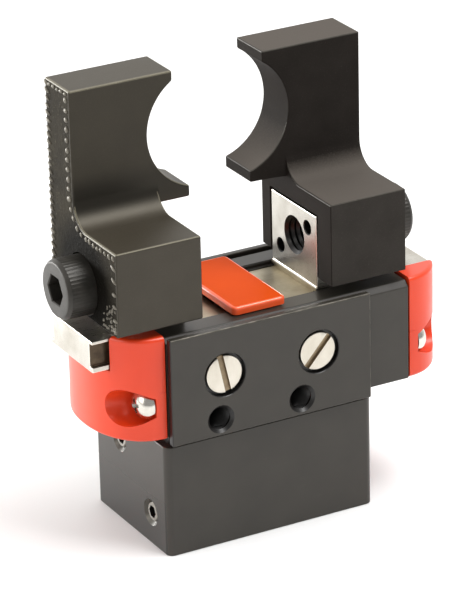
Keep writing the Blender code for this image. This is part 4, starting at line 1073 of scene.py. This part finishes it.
def make_finger(side, materials):
    sign, inner, outer = SIDES[side], FINGER_INNER[side], FINGER_OUTER[side]
    outline = [(sign * x, z) for x, z in arm_outline(side)]
    finger = to_object(f"finger_{side}_detail", prism(outline, "XZ", ARM_FRONT, FINGER_BACK), materials)
    fuse(finger, side_block(side, (inner, outer), (FINGER_FRONT, FINGER_BACK), (BLOCK_BOTTOM, BLOCK_TOP)),
         prism(fillet_outline(), "YZ", *span(side, inner, outer)))
    gap, seat = 0.45, HEAD_FACE[side] - HEAD_LENGTH
    cut(finger, side_block(side, (inner - 1, TAB_OUTER + gap), (TAB_FRONT - gap, TAB_BACK + gap),
                           (BLOCK_BOTTOM - 1, TAB_TOP + gap)))
    cut(finger, drill(6.8, (sign * 36, 0, FINGER_HOLE_Z), (sign * (seat - gap), 0, FINGER_HOLE_Z), 0, 96),
        drill(4.15, (sign * 36, 0, FINGER_HOLE_Z), (sign * TAB_OUTER, 0, FINGER_HOLE_Z), 0, 64))

    def clear_of_pocket(edge):
        middle = (edge.verts[0].co + edge.verts[1].co) / 2 / MM
        if Vector((middle.y, middle.z - FINGER_HOLE_Z)).length < 7.2:
            return False
        if abs(abs(middle.x) - inner) < 0.05 and middle.y < ARM_FRONT + 0.05 and middle.z > BLOCK_TOP + 1:
            return abs(middle.y - ARM_FRONT) > 0.05 and middle.z < BLOCK_TOP + FILLET - 2
        return middle.z > BLOCK_BOTTOM + 0.01 or abs(middle.x) < outer - 0.01

    # the rounded edges take the painted highlight
    soften(finger, FINGER_EDGE[side], 3, 50, WORN_AND_HIGHLIT, clear_of_pocket)
    sort_faces(finger, side)
    return present(finger, f"finger_{side}", 32)


# Beads that the printer left round the left finger's outer face: how far in from the edge their
# middles are, the distance from one to the next, their half sizes (X, Y, Z) and their turn
FRONT_BEADS = (1.6, 2.28, (0.42, 0.72, 0.62), 0)
BACK_BEADS = (1.0, 1.65, (0.42, 1.0, 0.40), 16)
TOP_BEADS = (0.9, 1.9, (0.34, 0.62, 0.40), 0)
LEDGE_BEADS = (1.2, 1.7, (0.36, 0.62, 0.48), 60)
CORNER_BEAD = (0.30, 0.50, 0.36)


def steps_between(start, end, pitch):
    """Points from start to end in equal steps of about pitch."""
    start, end = Vector(start), Vector(end)
    count = max(1, round((end - start).length / pitch))
    return [start.lerp(end, step / count) for step in range(count + 1)]


def bead_places():
    """(Y, Z, half sizes, turn in degrees) of every bead."""
    top = ARM_TOP - TOP_BEADS[0]
    front = ARM_FRONT + FRONT_BEADS[0]
    back = FINGER_BACK - BACK_BEADS[0]
    ledge = BLOCK_TOP - LEDGE_BEADS[0]
    corner = FINGER_FRONT + 1.2
    arc = fillet_arc(5, LEDGE_BEADS[0])
    rows = [
        (FRONT_BEADS, steps_between((front, top - 1.4), (front, BLOCK_TOP + FILLET), FRONT_BEADS[1])),
        (BACK_BEADS, steps_between((back, top), (back, BLOCK_BOTTOM + 1), BACK_BEADS[1])),
        (TOP_BEADS, steps_between((front, top), (back - 1.2, top), TOP_BEADS[1])),
        (LEDGE_BEADS, arc),
        (LEDGE_BEADS, steps_between((arc[-1][0] - 1.6, ledge), (corner, ledge), LEDGE_BEADS[1])),
        (BACK_BEADS, steps_between((corner, ledge - 2), (corner, 56), 3.1)),
    ]
    return [(y, z, row[2], row[3]) for row, places in rows for y, z in places]


def make_beads():
    scatter = random.Random(7)
    bm = bmesh.new()

    def bead(y, z, sizes, turn, scale=1.0):
        size = [scale * part * scatter.uniform(0.85, 1.15) for part in sizes]
        place = Matrix.Translation((-FINGER_OUTER["left"], y + scatter.uniform(-0.1, 0.1),
                                    z + scatter.uniform(-0.15, 0.15)))
        tilt = Matrix.Rotation(math.radians(turn + scatter.uniform(-12, 12)), 4, "X")
        bmesh.ops.create_uvsphere(bm, u_segments=14, v_segments=8, radius=1.0,
                                  matrix=place @ tilt @ Matrix.Diagonal((*size, 1.0)))

    for place in bead_places():
        bead(*place)
    for number in range(40):
        reach = 6.0 * scatter.random() ** 0.8
        angle = scatter.uniform(0, math.pi / 2)
        bead(FINGER_FRONT + 0.9 + reach * math.cos(angle), BLOCK_BOTTOM + 0.8 + reach * math.sin(angle),
             CORNER_BEAD, scatter.uniform(0, 180), scatter.uniform(0.5, 1.0))
    beads = to_object("finger_left_edge_beads", bm, [OLIVE_BEAD])
    beads.data.shade_smooth()
    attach(beads, BODY_OF["finger_left"])


def make_finger_screw(side):
    sign, face = SIDES[side], HEAD_FACE[side]
    seat = face - HEAD_LENGTH
    knurl_low, knurl_high = seat + 0.9, face - 1.0

    def ridges(height, index):
        return -KNURL_DEPTH if knurl_low <= height <= knurl_high and index % 2 else 0.0

    profile = [(0, face), (5.6, face), (5.95, face - 0.12), (6.35, face - 0.6), (6.48, face - 0.95),
               (6.5, knurl_high), (6.5, knurl_low), (6.46, seat + 0.6), (6.3, seat), (3.85, seat),
               (3.35, seat - 0.2)]
    shank = thread(3.95, 3.35, 1.25, seat - 0.3, 21.4) + [(2.6, 21.0), (0, 21.0)]
    bm = lathe(profile + shank, (0, 0, FINGER_HOLE_Z), (sign, 0, 0), 104, ridges)
    screw = to_object(f"finger_screw_{side}_detail", bm, [BLACK_OXIDE, OXIDE_EDGE])
    cut(screw, hexagon_socket(3.46, 4.5, face, 0.25, 4, 5, (0, 0, FINGER_HOLE_Z), sign))
    return present(screw, f"finger_screw_{side}", 28)


# ======== the gripper

make_body()
make_plate("front_plate", -1)
make_plate("rear_plate", 1)
make_pivot("left", -12, 30)
make_pivot("right", 42, -20)
for cover_side in SIDES:
    make_cover(cover_side)
for screw_side in SIDES:
    for screw_end, screw_turn in (("front", 18), ("rear", 52)):
        make_cover_screw(screw_side, screw_end, screw_turn)
make_centre_cover()
make_plug("port_plug_lower", *PORTS[0])
make_plug("port_plug_upper", *PORTS[1])
for jaw_side in SIDES:
    make_jaw(jaw_side)
    make_finger_screw(jaw_side)
make_finger("left", [OLIVE, OLIVE_EDGE_HIGHLIGHT, OLIVE_ROUGH, OLIVE_FRONT_LIT])
make_finger("right", [CHARCOAL, CHARCOAL_EDGE_HIGHLIGHT, CHARCOAL, CHARCOAL_FRONT_LIT])
make_beads()

KEPT_NODES = {
    "end_cap": ALUMINIUM, "end_cap_seal": RUBBER, "retaining_ring": SPRING, "rod_bushing": BRONZE,
    "rod_seal": RUBBER, "piston": ALUMINIUM, "piston_seal": RUBBER, "piston_rod": GROUND,
    "piston_nut": ZINC, "crosshead": GROUND, "lever_left": GROUND, "lever_right": GROUND,
    "return_spring": SPRING,
}
for kept_name, kept_material in KEPT_NODES.items():
    slots = NODES[kept_name].data.materials
    slots.clear()
    slots.append(kept_material)
